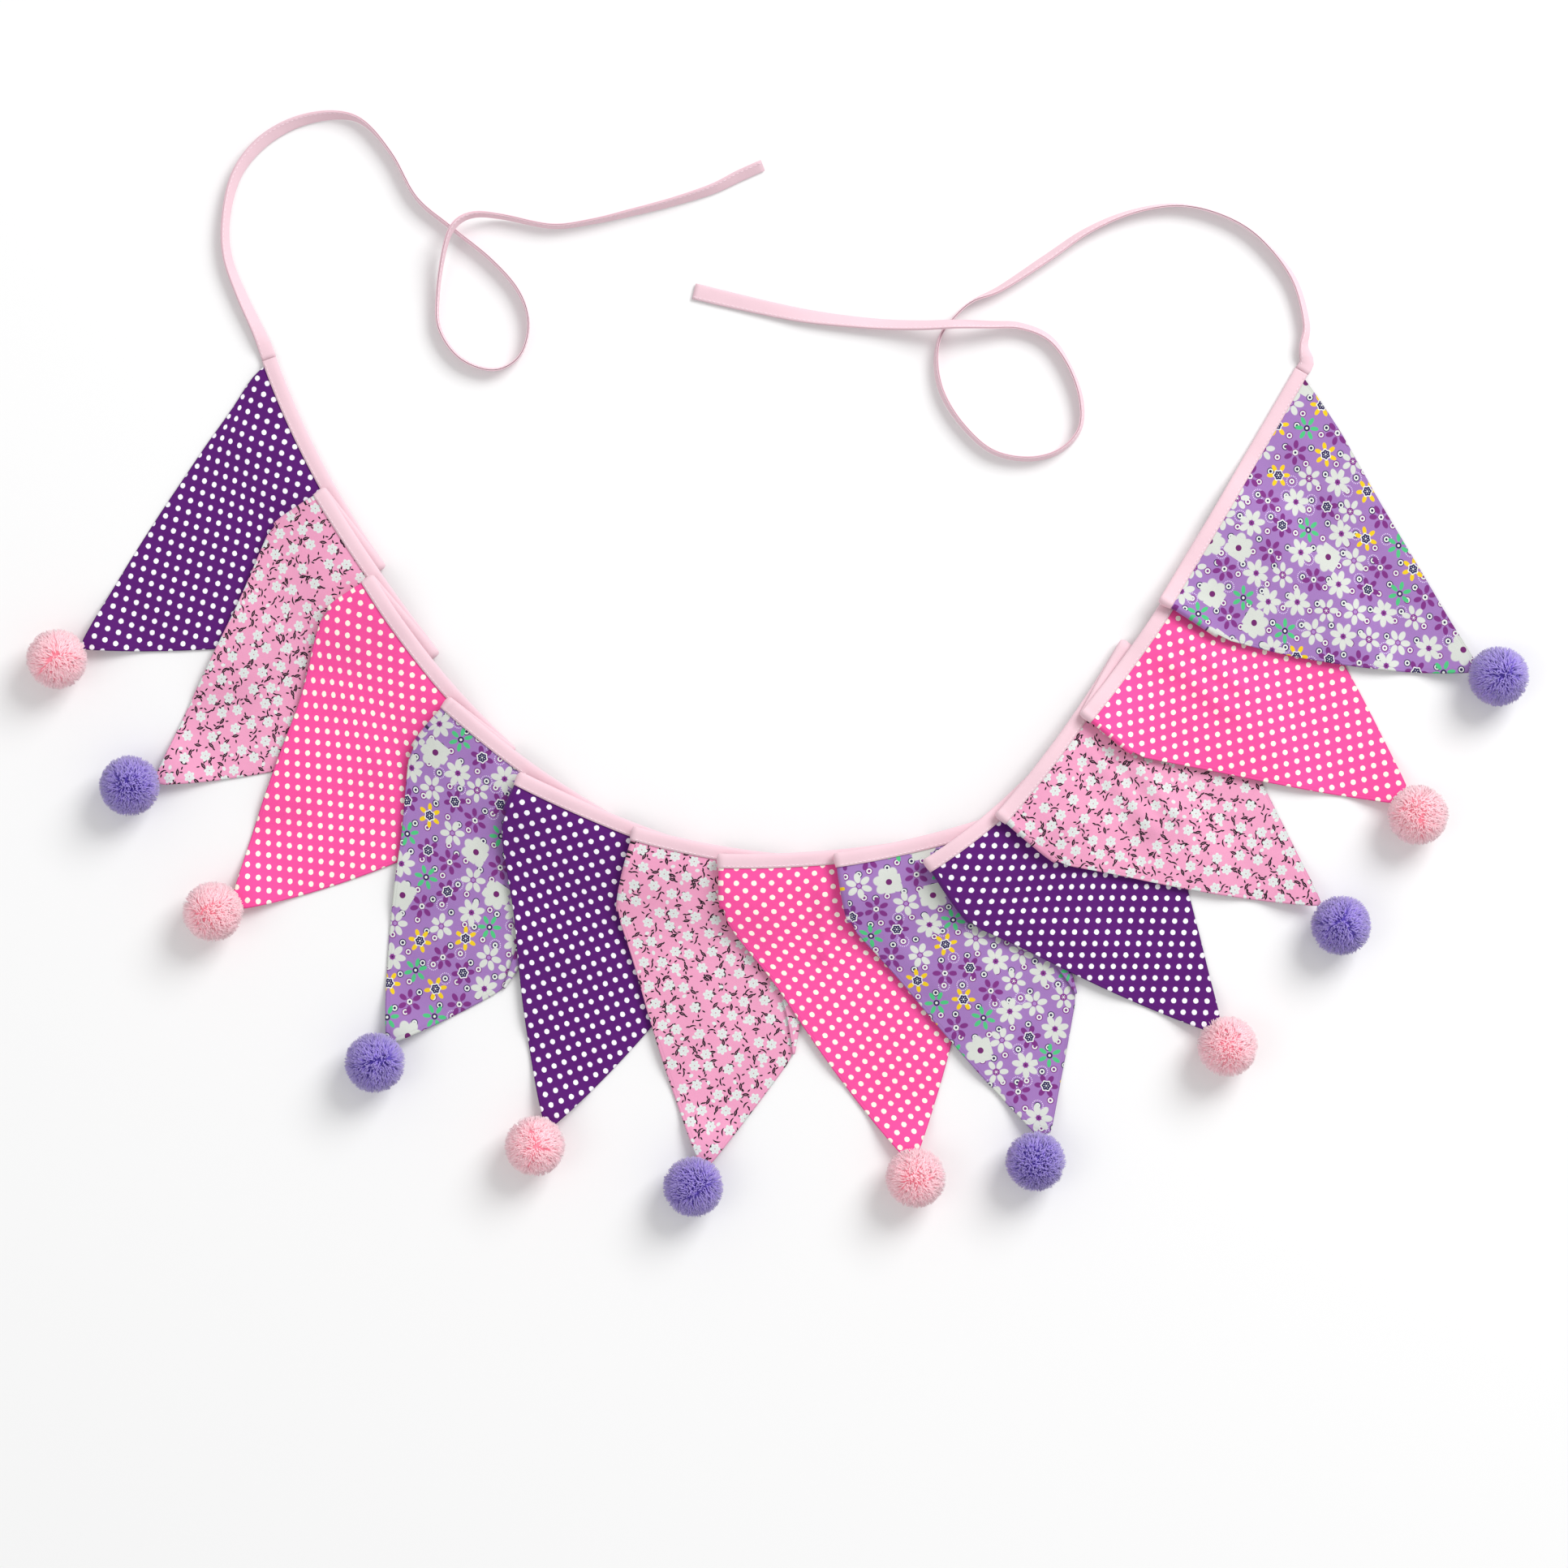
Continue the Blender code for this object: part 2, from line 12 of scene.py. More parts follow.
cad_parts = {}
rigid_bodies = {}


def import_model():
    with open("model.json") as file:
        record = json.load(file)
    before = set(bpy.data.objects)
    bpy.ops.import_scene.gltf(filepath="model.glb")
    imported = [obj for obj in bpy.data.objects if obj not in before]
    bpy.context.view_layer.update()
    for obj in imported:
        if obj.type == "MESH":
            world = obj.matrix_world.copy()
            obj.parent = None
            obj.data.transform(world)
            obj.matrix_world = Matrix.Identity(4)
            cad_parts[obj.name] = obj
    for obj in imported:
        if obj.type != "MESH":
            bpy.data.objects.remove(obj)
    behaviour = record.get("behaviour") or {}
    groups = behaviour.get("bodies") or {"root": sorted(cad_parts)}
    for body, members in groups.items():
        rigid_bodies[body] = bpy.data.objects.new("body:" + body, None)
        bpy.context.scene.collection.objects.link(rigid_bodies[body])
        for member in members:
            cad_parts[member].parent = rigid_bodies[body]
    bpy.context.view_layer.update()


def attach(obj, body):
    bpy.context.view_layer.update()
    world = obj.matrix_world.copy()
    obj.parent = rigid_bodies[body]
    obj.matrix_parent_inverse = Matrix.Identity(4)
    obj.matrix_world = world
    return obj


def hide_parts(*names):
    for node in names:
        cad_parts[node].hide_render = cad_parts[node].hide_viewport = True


for thing in list(bpy.data.objects):
    bpy.data.objects.remove(thing, do_unlink=True)
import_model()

MM = 0.001

# Tape
TAPE_WIDTH = 9.6
LEAF = 0.55
SLOT = 3.1  # between its two leaves
TAPE_THICK = 2 * LEAF + SLOT
TAPE_STEP = 5.1  # between two layers of a pleat
TAPE_SLIM = 0.76  # how far it closes up at its two ends

# Cloth
CLOTH = 1.0
RAW_EDGE = 2.4  # from the tape's outer fold
CORNER = 4.0  # height of the cloth at its top corners
CLOTH_STEP = 2.35  # between two layers, well below the tape
COVER_MARGIN = 12.0  # the layer above is held up this far past an edge
COVER_REACH = 80.0  # and not at all this far past it
TIP_RISE = 8.5  # of a tip, up to its pompom
MIN_CUT = 3.0  # off a tip, at least
HIDDEN_BOW = 2.5  # of a sewn edge past the pennant's side folds
BOW_FADE = 12.0  # from a side fold to where the bow is that small
SQUARE_OFF = 12.0  # this much next to the tape is square to it
TAPE_BLEND = 90.0  # then this much follows the curve of the tape less and less
FREE_BLEND = 26.0  # the same at the first pennant's free edge
FREE_SHARE = 0.3  # of the first pennant's width, over which the one becomes the other

# Where the cloth changes: how far down from the tape, and over how much
SINK = (15, 22)  # from the middle of the tape to the table
PLEAT = (12, 62)  # a pleat closes up
CREASED = (14, 20)  # creases begin
SLOPE = (20, 60)  # the slope beside an edge grows shorter
SLOPE_TOP, SLOPE_END = 60, 36
LIFT = (46, 40)  # a tip rises: how far from it, and over how much

# Pompoms
POMPOM_HEIGHT = 19.7
CORE = 16.0  # radius that the cloth's tip stays clear of
HEART = 15.2  # radius of the lumpy ball inside
ROOT = 11.5  # where a strand starts, from the middle
LOCK_REACH = 20.4  # where the longest strands end
LOCK_LENGTHS = [0.93, 0.97, 1.0, 1.0]
STRAND_THICK = (0.34, 0.46)  # radius
STRANDS = 3400
WHORLS = 9  # places that the strands round them lean to
STRAY, LEAN, BEND = 0.055, 0.12, 0.07
NEAR_EDGE, NEAR_CLOTH = 1.2, 1.6  # a strand that would end this near the cloth is kept short
TIP_GAP = 0.8  # between that radius and the cloth
TABLE_GAP = 0.05

# Ties
TIE_THICK = 2.0
TIE_WIDTH = 10.0
TIE_END_WIDTH = 11.0
TIE_START = 0.1  # from the binding's end
TIE_CLEAR = 0.15

FINE_STEP = 3.0  # between two columns of cloth
FINE_TURN = 8  # steps round one fold
ROWS = 44  # down a pennant
HEM = (6.5, 2.6, 0.9, 0.0)  # the last rows, up from a sewn edge
SHORT = 14  # a column shorter than this has even rows
TURN_ROOM = 3.6  # from a fold to the first flat column
EDGE_SHARE = 0.44  # distance from a sewn edge for each millimetre down the cloth
NO_EDGE = 9.0  # far enough from an edge to show nothing of it
CLOTH_MAP = 300.0  # millimetres of cloth across the cloth's UV map
TAPE_MAP = 2400.0  # millimetres of tape across the tape's UV map
SPRIG_CELL = 12.8  # between two flowers of the light pink cloth
FLOWER_CELL = 18.0  # between two flowers of the lilac cloth
DOT_ALONG, DOT_DOWN = 11.3, 9.8  # between two dots

# Twelve pennants in plan: the top edge by start, middle and end, the tip, how much of the left side is
# turned under, the pompom, and how far the left and right sewn edges bow down the cloth.
PENNANTS = [
    # start            mid               end               tip               turned  pom               bows
    ((-339.1, 283.8), (-304.6, 206.6), (-265.7, 144.5), (-465.1, 90.6), 0.0, (-477.4, 84.0), (12.2, 12.5)),
    ((-304.3, 194.8), (-268.4, 139.6), (-230.0, 86.7), (-416.5, 0.6), 18.0, (-429.3, 0.3), (5.6, 17.5)),
    ((-271.6, 136.4), (-235.4, 83.4), (-178.7, 22.4), (-365.4, -83.0), 14.0, (-374.2, -82.9), (12.9, 20.0)),
    ((-220.0, 55.0), (-172.8, 15.9), (-111.2, -24.0), (-260.5, -172.4), 15.0, (-267.3, -182.8), (19.6, 15.9)),
    ((-172.3, 4.9), (-108.0, -24.6), (-40.0, -48.3), (-154.6, -229.7), 9.0, (-161.5, -237.9), (18.0, 17.0)),
    ((-96.3, -31.1), (-37.8, -44.6), (31.3, -51.6), (-50.4, -257.2), 23.0, (-56.7, -264.9), (12.5, 9.7)),
    ((-39.4, -49.4), (27.0, -47.8), (98.3, -38.6), (88.7, -252.4), 12.0, (90.2, -258.9), (20.0, 15.6)),
    ((37.8, -48.9), (102.6, -35.9), (164.2, -16.5), (178.3, -239.3), 18.0, (169.6, -248.1), (10.8, 7.1)),
    ((98.3, -52.4), (149.3, -14.0), (194.4, 33.2), (295.5, -166.4), 19.0, (296.5, -172.0), (15.0, 5.9)),
    ((146.6, -21.3), (186.8, 28.4), (230.6, 94.2), (361.0, -80.0), 19.5, (371.5, -92.1), (14.2, 7.5)),
    ((202.5, 45.6), (242.5, 97.5), (284.6, 165.5), (421.9, -13.4), 17.0, (422.3, -19.2), (9.4, 14.5)),
    ((255.2, 120.7), (298.6, 192.5), (347.2, 275.7), (465.9, 75.5), 16.0, (475.7, 72.6), (19.8, 3.3)),
]

# Soft creases: pennant, the two ends of the crease in plan, height (a trough is negative), half width.
CREASES = [
    # pennant  from              to                high  half
    (1, (-351.0, 226.0), (-324.0, 226.0), 2.2, 13.0),
    (1, (-340.0, 199.0), (-302.0, 193.0), 2.0, 13.0),
    (2, (-300.0, 170.0), (-275.0, 150.0), 1.4, 7.0),
    (3, (-286.0, 59.0), (-248.0, -17.0), 1.4, 12.0),
    (4, (-173.0, -17.0), (-194.0, -49.0), 2.2, 15.0),
    (4, (-213.0, -22.0), (-222.0, -70.0), 1.2, 9.0),
    (5, (-165.0, -112.0), (-118.0, -116.0), 1.4, 7.0),
    (6, (-60.0, -226.0), (-35.0, -229.0), 1.2, 6.0),
    (7, (30.0, -54.0), (31.0, -112.0), 3.0, 5.5),
    (7, (44.0, -56.0), (46.0, -100.0), 2.2, 6.5),
    (8, (70.0, -98.0), (103.0, -130.0), 1.3, 8.0),
    (9, (151.0, -87.0), (238.0, -111.0), 1.8, 10.0),
    (10, (212.0, 42.0), (263.0, -18.0), 3.8, 7.0),
    (10, (199.8, 32.0), (248.0, -28.0), 3.4, 7.0),
    (11, (264.2, 99.9), (307.4, 64.8), 3.8, 6.5),
    (11, (254.2, 87.5), (300.0, 50.0), 3.4, 7.0),
    (12, (324.0, 177.0), (367.0, 145.0), 1.3, 12.0),
]

# The ties' routes: place, how far the tape is turned up on its edge, and its lift off the table.
TIE_LEFT = [
    # x       y      turn  lift
    (-345.6, 301.1, 35.0, 0.0),
    (-358.0, 328.0, 50.0, 0.0),
    (-366.5, 352.0, 60.0, 0.0),
    (-367.5, 377.0, 66.0, 0.0),
    (-360.7, 405.3, 56.0, 0.0),
    (-345.0, 426.5, 45.0, 0.0),
    (-322.0, 440.5, 52.0, 0.0),
    (-296.0, 445.6, 64.0, 0.0),
    (-276.0, 440.5, 80.0, 0.0),
    (-257.0, 419.0, 86.0, 0.0),
    (-241.0, 390.5, 84.0, 0.0),
    (-219.0, 371.5, 84.0, 0.0),
    (-191.5, 349.5, 86.0, 0.0),
    (-173.0, 328.0, 84.0, 0.0),
    (-166.5, 306.5, 88.0, 0.0),
    (-172.5, 285.5, 86.0, 0.0),
    (-189.5, 276.5, 82.0, 0.0),
    (-211.5, 284.0, 84.0, 0.0),
    (-225.5, 303.5, 86.0, 0.0),
    (-226.5, 327.0, 86.0, 1.5),
    (-221.5, 356.5, 82.0, 7.5),
    (-214.6, 371.5, 76.0, 11.2),
    (-202.5, 378.5, 76.0, 7.5),
    (-184.0, 378.0, 80.0, 1.0),
    (-151.0, 371.8, 82.0, 0.0),
    (-124.0, 375.0, 80.0, 0.0),
    (-97.7, 381.0, 72.0, 0.0),
    (-70.7, 388.0, 66.0, 0.0),
    (-44.3, 396.6, 58.0, 0.0),
    (-26.5, 405.3, 50.0, 0.0),
    (-10.8, 412.3, 50.0, 0.0),
]
TIE_RIGHT = [
    # x       y      turn  lift
    (348.6, 292.4, 52.0, 0.0),
    (350.2, 308.1, 60.0, 0.0),
    (341.3, 337.8, 66.0, 0.0),
    (319.1, 364.2, 80.0, 0.0),
    (294.8, 378.8, 84.0, 0.0),
    (265.7, 385.8, 78.0, 0.0),
    (234.9, 381.5, 72.0, 0.0),
    (205.0, 369.0, 64.0, 0.0),
    (177.1, 350.2, 58.0, 0.0),
    (147.0, 330.5, 66.0, 0.0),
    (128.5, 322.1, 84.0, 0.0),
    (116.5, 311.5, 88.0, 0.0),
    (107.0, 298.6, 86.0, 0.0),
    (104.2, 281.1, 80.0, 0.0),
    (108.5, 260.5, 78.0, 0.0),
    (121.5, 240.0, 82.0, 0.0),
    (141.0, 222.5, 82.0, 0.0),
    (165.0, 217.2, 80.0, 0.0),
    (186.0, 222.4, 80.0, 0.0),
    (199.5, 236.8, 78.0, 0.0),
    (200.5, 257.0, 74.0, 0.0),
    (192.5, 279.5, 76.0, 0.0),
    (179.5, 297.5, 66.0, 0.0),
    (160.0, 305.6, 62.0, 0.8),
    (139.9, 305.9, 58.0, 5.5),
    (117.7, 305.9, 52.0, 10.6),
    (95.6, 305.6, 48.0, 6.0),
    (70.0, 306.6, 43.0, 1.2),
    (42.1, 309.2, 34.0, 0.0),
    (17.8, 312.4, 20.0, 0.0),
    (-4.3, 316.7, 7.0, 0.0),
    (-32.9, 323.2, 0.0, 0.0),
    (-56.7, 329.0, 0.0, 0.0),
]

# Half of a folded section: distance from the outer fold, and off the tape's middle.
TAPE_SECTION = [
    # from_fold  off
    (9.6, 0.98),
    (8.3, 1.02),
    (6.2, 1.42),
    (3.9, 1.68),
    (2.2, 1.54),
    (1.1, 1.12),
    (0.5, 0.6),
]
TIE_SECTION = [
    # from_fold  off
    (9.7, 0.44),
    (8.3, 0.42),
    (6.2, 0.56),
    (3.9, 0.66),
    (2.2, 0.62),
    (1.1, 0.5),
    (0.55, 0.28),
]
STITCH_LINE = 8.3  # from the outer fold
STITCH = 2.3  # what shows of one
STITCH_PITCH = 3.0


def tone(red, green, blue):
    """A colour on the usual 0 to 255 scale, made linear."""
    return tuple(
        v / 255 / 12.92 if v <= 10 else ((v / 255 + 0.055) / 1.055) ** 2.4 for v in (red, green, blue)
    ) + (1.0,)


def ease(x):
    x = min(max(x, 0.0), 1.0)
    return 2 * x * x if x < 0.5 else 1 - 2 * (1 - x) ** 2


def past(depth, change):
    """0 before a change, 1 after it."""
    begin, over = change
    return ease((depth - begin) / over)


def mix(a, b, share):
    return a * (1 - share) + b * share


class Pennant:
    """The plan of one pennant: its tape, its two side folds and its flat triangle."""

    def __init__(self, row):
        start, mid, end, tip, self.turned, pom, self.bows = row
        self.start, self.end, self.tip = Vector(start), Vector(end), Vector(tip)
        self.pom = Vector(pom)
        self.chord = self.end - self.start
        self.length = self.chord.length
        self.along = self.chord.normalized()
        out = Vector((self.along.y, -self.along.x))
        self.out = out if out.dot(self.tip - self.start) > 0 else -out
        self.sag = (Vector(mid) - (self.start + self.end) / 2).dot(self.out)
        self.folded = 0.0

    def settle(self):
        """What follows once the right fold is known."""
        self.width = self.turned + self.length + self.folded
        self.middle = self.width / 2
        axis = self.tip - (self.start + self.along * (self.middle - self.turned))
        self.down = axis.normalized()
        self.height = axis.length + TAPE_WIDTH / 2
        level = POMPOM_HEIGHT - TIP_RISE - CLOTH
        stop = math.sqrt((CORE + TIP_GAP + CLOTH) ** 2 - level**2)
        tip_to_pom = (self.pom - self.tip).dot(self.down)
        self.cut = max(stop - tip_to_pom, MIN_CUT)
        self.tip_half = self.width / 2 * self.cut / self.height
        corners = [
            self.plan(self.turned, 0.0),
            self.plan(self.turned + self.length, 0.0),
            self.plan(self.turned + self.length, self.reach(self.turned + self.length)),
            self.tip,
            self.plan(self.turned, self.reach(self.turned)),
        ]
        self.heart = sum(corners, Vector((0, 0))) / 5
        self.far = max((p - self.heart).length for p in corners) + COVER_REACH
        self.sides = []
        for a, b in zip(corners, corners[1:] + corners[:1]):
            side = (b - a).normalized()
            normal = Vector((side.y, -side.x))
            if normal.dot(self.heart - a) > 0:
                normal = -normal
            self.sides.append((a, normal))

    def reach(self, u):
        """How far down the cloth goes at u along its top edge."""
        share = max(1 - abs(u - self.middle) / (self.width / 2 - 1), 0.0)
        hidden = max(self.turned - u, u - self.turned - self.length, 0.0)
        bow = mix(self.bows[u > self.middle], HIDDEN_BOW, ease(hidden / BOW_FADE))
        swell = bow * 4 * share * (1 - share)
        return min(CORNER + (self.height - CORNER) * share + swell, self.height - self.cut)

    def tangent(self, share):
        return (self.chord + self.out * (4 * (1 - 2 * share) * self.sag)).normalized()

    def plan(self, u, y):
        """Plan position of the point u along the top edge and y down from the tape's fold."""
        share = (u - self.turned) / self.length
        on_chord = self.start + self.chord * share
        on_tape = on_chord + self.out * (4 * share * (1 - share) * self.sag)
        t = self.tangent(share)
        n = Vector((t.y, -t.x))
        if n.dot(self.out) < 0:
            n = -n
        near = on_tape + n * (y - TAPE_WIDTH / 2)
        flat = on_chord + self.down * (y - TAPE_WIDTH / 2)
        span = TAPE_BLEND if self.turned else mix(FREE_BLEND, TAPE_BLEND, ease(share / FREE_SHARE))
        return near.lerp(flat, ease((y - SQUARE_OFF) / span))

    def depth(self, point):
        return (point - self.start).dot(self.out) + TAPE_WIDTH / 2

    def outside(self, point):
        """Distance outside the pennant's visible outline, negative inside."""
        return max((point - a).dot(normal) for a, normal in self.sides)


def make_pennants():
    found = [Pennant(row) for row in PENNANTS]
    for left, right in zip(found, found[1:]):
        gap = right.start - left.end
        left.back = gap.normalized()
        left.folded = gap.length - right.turned
        normal = Vector((left.back.y, -left.back.x))
        left.pleat_out = normal if normal.dot(left.out) > 0 else -normal
        left.pleat_at = right.start.copy()
    for pennant in found:
        pennant.settle()
    return found


def rest_height(pennant, point):
    return mix(TAPE_THICK / 2, CLOTH / 2, past(pennant.depth(point), SINK))


def pleat_step(pennant, point):
    depth = (point - pennant.pleat_at).dot(pennant.pleat_out)
    return 2 * mix(TAPE_STEP, CLOTH_STEP, past(depth, PLEAT))


def crease_height(number, point):
    high = 0.0
    for which, a, b, size, half in CREASES:
        if which != number:
            continue
        a, b = Vector(a), Vector(b)
        run = b - a
        share = min(max((point - a).dot(run) / run.length_squared, 0.0), 1.0)
        high += size * math.exp(-(((point - a - run * share).length / half) ** 2))
    return high


def cover(pennant, point):
    if (point - pennant.heart).length > pennant.far:
        return 0.0
    depth = (point - pennant.start).dot(pennant.out)
    fall = mix(SLOPE_TOP, SLOPE_END, past(depth, SLOPE))
    return 1 - ease((pennant.outside(point) - COVER_MARGIN) / fall)


def height_of(flags, index, point):
    """Centre height of pennant index at a plan point, lying on those before it."""
    heights = {}
    first = max(0, index - 5)
    for k in range(first, index + 1):
        level = floor = rest_height(flags[k], point)
        for below in (k - 1, k - 2):
            if below < first:
                continue
            share = cover(flags[below], point)
            if share > 0:
                on_top = heights[below] + pleat_step(flags[below], point)
                level = max(level, mix(floor, on_top, share))
        away = past(flags[k].depth(point), CREASED)
        heights[k] = level + away * crease_height(k + 1, point)
    return heights[index]


def slack(point):
    """The slight unevenness of soft cloth, the same for every layer over one spot."""
    broad = noise.noise(Vector((point.x / 46, point.y / 46, 3.1)))
    small = noise.noise(Vector((point.x / 17, point.y / 17, 8.7)))
    return max(0.0, 0.45 + 0.8 * broad + 0.28 * small)


def tip_lift(pennant, y):
    from_tip, over = LIFT
    return TIP_RISE * ease((y - pennant.height + from_tip) / over)


def spread(a, b, step):
    """Values from a to b, both left out, no more than a step apart."""
    count = max(1, math.ceil((b - a) / step))
    return [a + (b - a) * k / count for k in range(1, count)]


def columns_of(flags, index):
    """Columns of one pennant from its left corner to its right: kind of layer, where on it, and u."""
    pennant = flags[index]
    left, right = pennant.turned, pennant.turned + pennant.length
    found = []
    if index > 0:
        far = pennant.turned - 1
        inwards = [far] + spread(TURN_ROOM, far, FINE_STEP)[::-1] + [TURN_ROOM]
        found += [("left", away, left - away) for away in inwards]
        found += [("turn_start", 180 * k / FINE_TURN, left) for k in range(FINE_TURN + 1)]
        begin = left + TURN_ROOM
    else:
        found.append(("front", 0.0, 0.0))
        begin = 1.0
    finish = right - TURN_ROOM if index + 1 < len(flags) else right - 1
    tips = [pennant.middle - pennant.tip_half, pennant.middle, pennant.middle + pennant.tip_half]
    marks = [begin] + tips + [finish]
    for a, b in zip(marks, marks[1:]):
        found.append(("front", a, a))
        found += [("front", u, u) for u in spread(a, b, FINE_STEP)]
    found.append(("front", finish, finish))
    if index + 1 < len(flags):
        far = pennant.folded - 1
        found += [("turn_end", 180 * k / FINE_TURN, right) for k in range(FINE_TURN + 1)]
        outwards = [TURN_ROOM] + spread(TURN_ROOM, far, FINE_STEP) + [far]
        found += [("right", away, right + away) for away in outwards]
    else:
        found.append(("front", right, right))
    return found


def place(flags, index, column, y, off):
    """Point of a pennant's cloth or tape, off its middle surface towards the printed side."""
    kind, where, u = column
    pennant = flags[index]
    if kind == "front":
        point = pennant.plan(where, y)
        z = height_of(flags, index, point) + tip_lift(pennant, y) + off + slack(point)
    elif kind in ("right", "left"):
        if kind == "right":
            point = pennant.plan(u - where, y) + pennant.back * where
            under = index
        else:
            point = pennant.plan(u + where, y) - flags[index - 1].back * where
            under = index - 1
        z = (height_of(flags, under, point) + height_of(flags, under + 1, point)) / 2 - off + slack(point)
    else:
        at_end = kind == "turn_end"
        fold = pennant.plan(u, y)
        under = index if at_end else index - 1
        low, high = height_of(flags, under, fold), height_of(flags, under + 1, fold)
        half = (high - low) / 4
        base = low if at_end else (low + high) / 2
        radius = half - off if at_end else half + off
        angle = math.radians(where)
        inward = half - radius * math.sin(angle)
        z = base + half - radius * math.cos(angle) + slack(fold)
        if at_end:
            way = -pennant.tangent(1) if where < 90 else pennant.back
        else:
            way = -flags[index - 1].back if where < 90 else pennant.tangent(0)
        point = fold + way * inward
    return Vector((point.x, point.y, z)) * MM


def rows_of(pennant, u):
    """Rows down a column, closer together at the tape and at the sewn edge."""
    end = pennant.reach(u)
    if end < SHORT:
        return [RAW_EDGE + (end - RAW_EDGE) * k / (ROWS - 1) for k in range(ROWS)]
    first = min(TAPE_WIDTH, end * 0.6)
    hem = [end - min(h, (end - first) * h / 12) for h in HEM]
    top = [mix(RAW_EDGE, first, k / 3) for k in range(4)]
    between = ROWS - len(top) - len(hem)
    return top + [mix(first, hem[0], (k + 1) / (between + 1)) for k in range(between)] + hem


def mesh_of(name, bm):
    mesh = bpy.data.meshes.new(name)
    bm.to_mesh(mesh)
    bm.free()
    return mesh


def piece_of(name, mesh, material):
    mesh.materials.append(material)
    mesh.shade_smooth()
    thing = bpy.data.objects.new(name, mesh)
    bpy.context.scene.collection.objects.link(thing)
    return thing


def cloth_grid(name, across, down, point_at, map_at, thickness, material, weight_at=None, edge_at=None):
    """A grid of cloth put in place point by point, with its own UV map, then given its thickness."""
    bm = bmesh.new()
    edge_layer = bm.verts.layers.float.new("edge")
    bmesh.ops.create_grid(bm, x_segments=across - 1, y_segments=down - 1, size=0.5)
    spots = {}
    for vert in bm.verts:
        column = round((vert.co.x + 0.5) * (across - 1))
        row = round((vert.co.y + 0.5) * (down - 1))
        spots[vert.index] = (column, row)
        vert.co = point_at(column, row)
        vert[edge_layer] = edge_at(column, row) if edge_at else NO_EDGE
    layer = bm.loops.layers.uv.new("cloth")
    for face in bm.faces:
        for loop in face.loops:
            loop[layer].uv = map_at(*spots[loop.vert.index])
    thing = piece_of(name, mesh_of(name, bm), material)
    solid = thing.modifiers.new("thickness", "SOLIDIFY")
    solid.thickness = thickness * MM
    solid.offset = 0
    solid.use_quality_normals = True
    if weight_at:
        group = thing.vertex_groups.new(name="fullness")
        for index, spot in spots.items():
            group.add([index], weight_at(*spot), "REPLACE")
        solid.vertex_group = group.name
        solid.thickness_vertex_group = 0.0
    return thing


def between(a, b, c, d, t):
    """From b to c, on a smooth curve that also passes a and d."""
    squared = (2 * a - 5 * b + 4 * c - d) * t * t
    cubed = (3 * b - a - 3 * c + d) * t**3
    return 0.5 * (2 * b + (c - a) * t + squared + cubed)


def smooth_route(points, step):
    """Points a step apart on a smooth curve through the given ones."""
    fine = []
    count = len(points)
    for i in range(count - 1):
        p0, p1 = points[max(i - 1, 0)], points[i]
        p2, p3 = points[i + 1], points[min(i + 2, count - 1)]
        for k in range(24):
            t = k / 24
            fine.append([between(a, b, c, d, t) for a, b, c, d in zip(p0, p1, p2, p3)])
    fine.append(list(points[-1]))
    run = [0.0]
    for a, b in zip(fine, fine[1:]):
        run.append(run[-1] + math.dist(a[:2], b[:2]))
    steps = max(2, round(run[-1] / step))
    found, at = [], 0
    for k in range(steps + 1):
        want = run[-1] * k / steps
        while at < len(run) - 2 and run[at + 1] < want:
            at += 1
        share = (want - run[at]) / max(run[at + 1] - run[at], 1e-9)
        found.append([a + (b - a) * share for a, b in zip(fine[at], fine[at + 1])])
    return found, run[-1]


# Materials


class Value:
    """A socket of one finish that takes part in Python's sums."""

    def __init__(self, finish, socket):
        self.finish, self.socket = finish, socket

    def maths(self, operation, first, *rest):
        return self.finish.node("Math", {"operation": operation}, dict(enumerate((first, *rest))))

    def __add__(self, other):
        return self.maths("ADD", self, other)

    __radd__ = __add__

    def __sub__(self, other):
        return self.maths("SUBTRACT", self, other)

    def __rsub__(self, other):
        return self.maths("SUBTRACT", other, self)

    def __mul__(self, other):
        return self.maths("MULTIPLY", self, other)

    __rmul__ = __mul__

    def __truediv__(self, other):
        return self.maths("DIVIDE", self, other)

    def __rtruediv__(self, other):
        return self.maths("DIVIDE", other, self)

    def __pow__(self, other):
        return self.maths("POWER", self, other)

    def floor(self):
        return self.maths("FLOOR", self)

    def fract(self):
        return self.maths("FRACT", self)

    def sin(self):
        return self.maths("SINE", self)

    def cos(self):
        return self.maths("COSINE", self)

    def size(self):
        return self.maths("ABSOLUTE", self)

    def over(self, level):
        return self.maths("GREATER_THAN", self, level)

    def under(self, level, soft):
        """1 well below the level, 0 above it, with an edge that wide."""
        return self.finish.node(
            "MapRange",
            {"interpolation_type": "SMOOTHSTEP"},
            {0: self, 1: level + soft, 2: level - soft, 3: 0.0, 4: 1.0},
        )


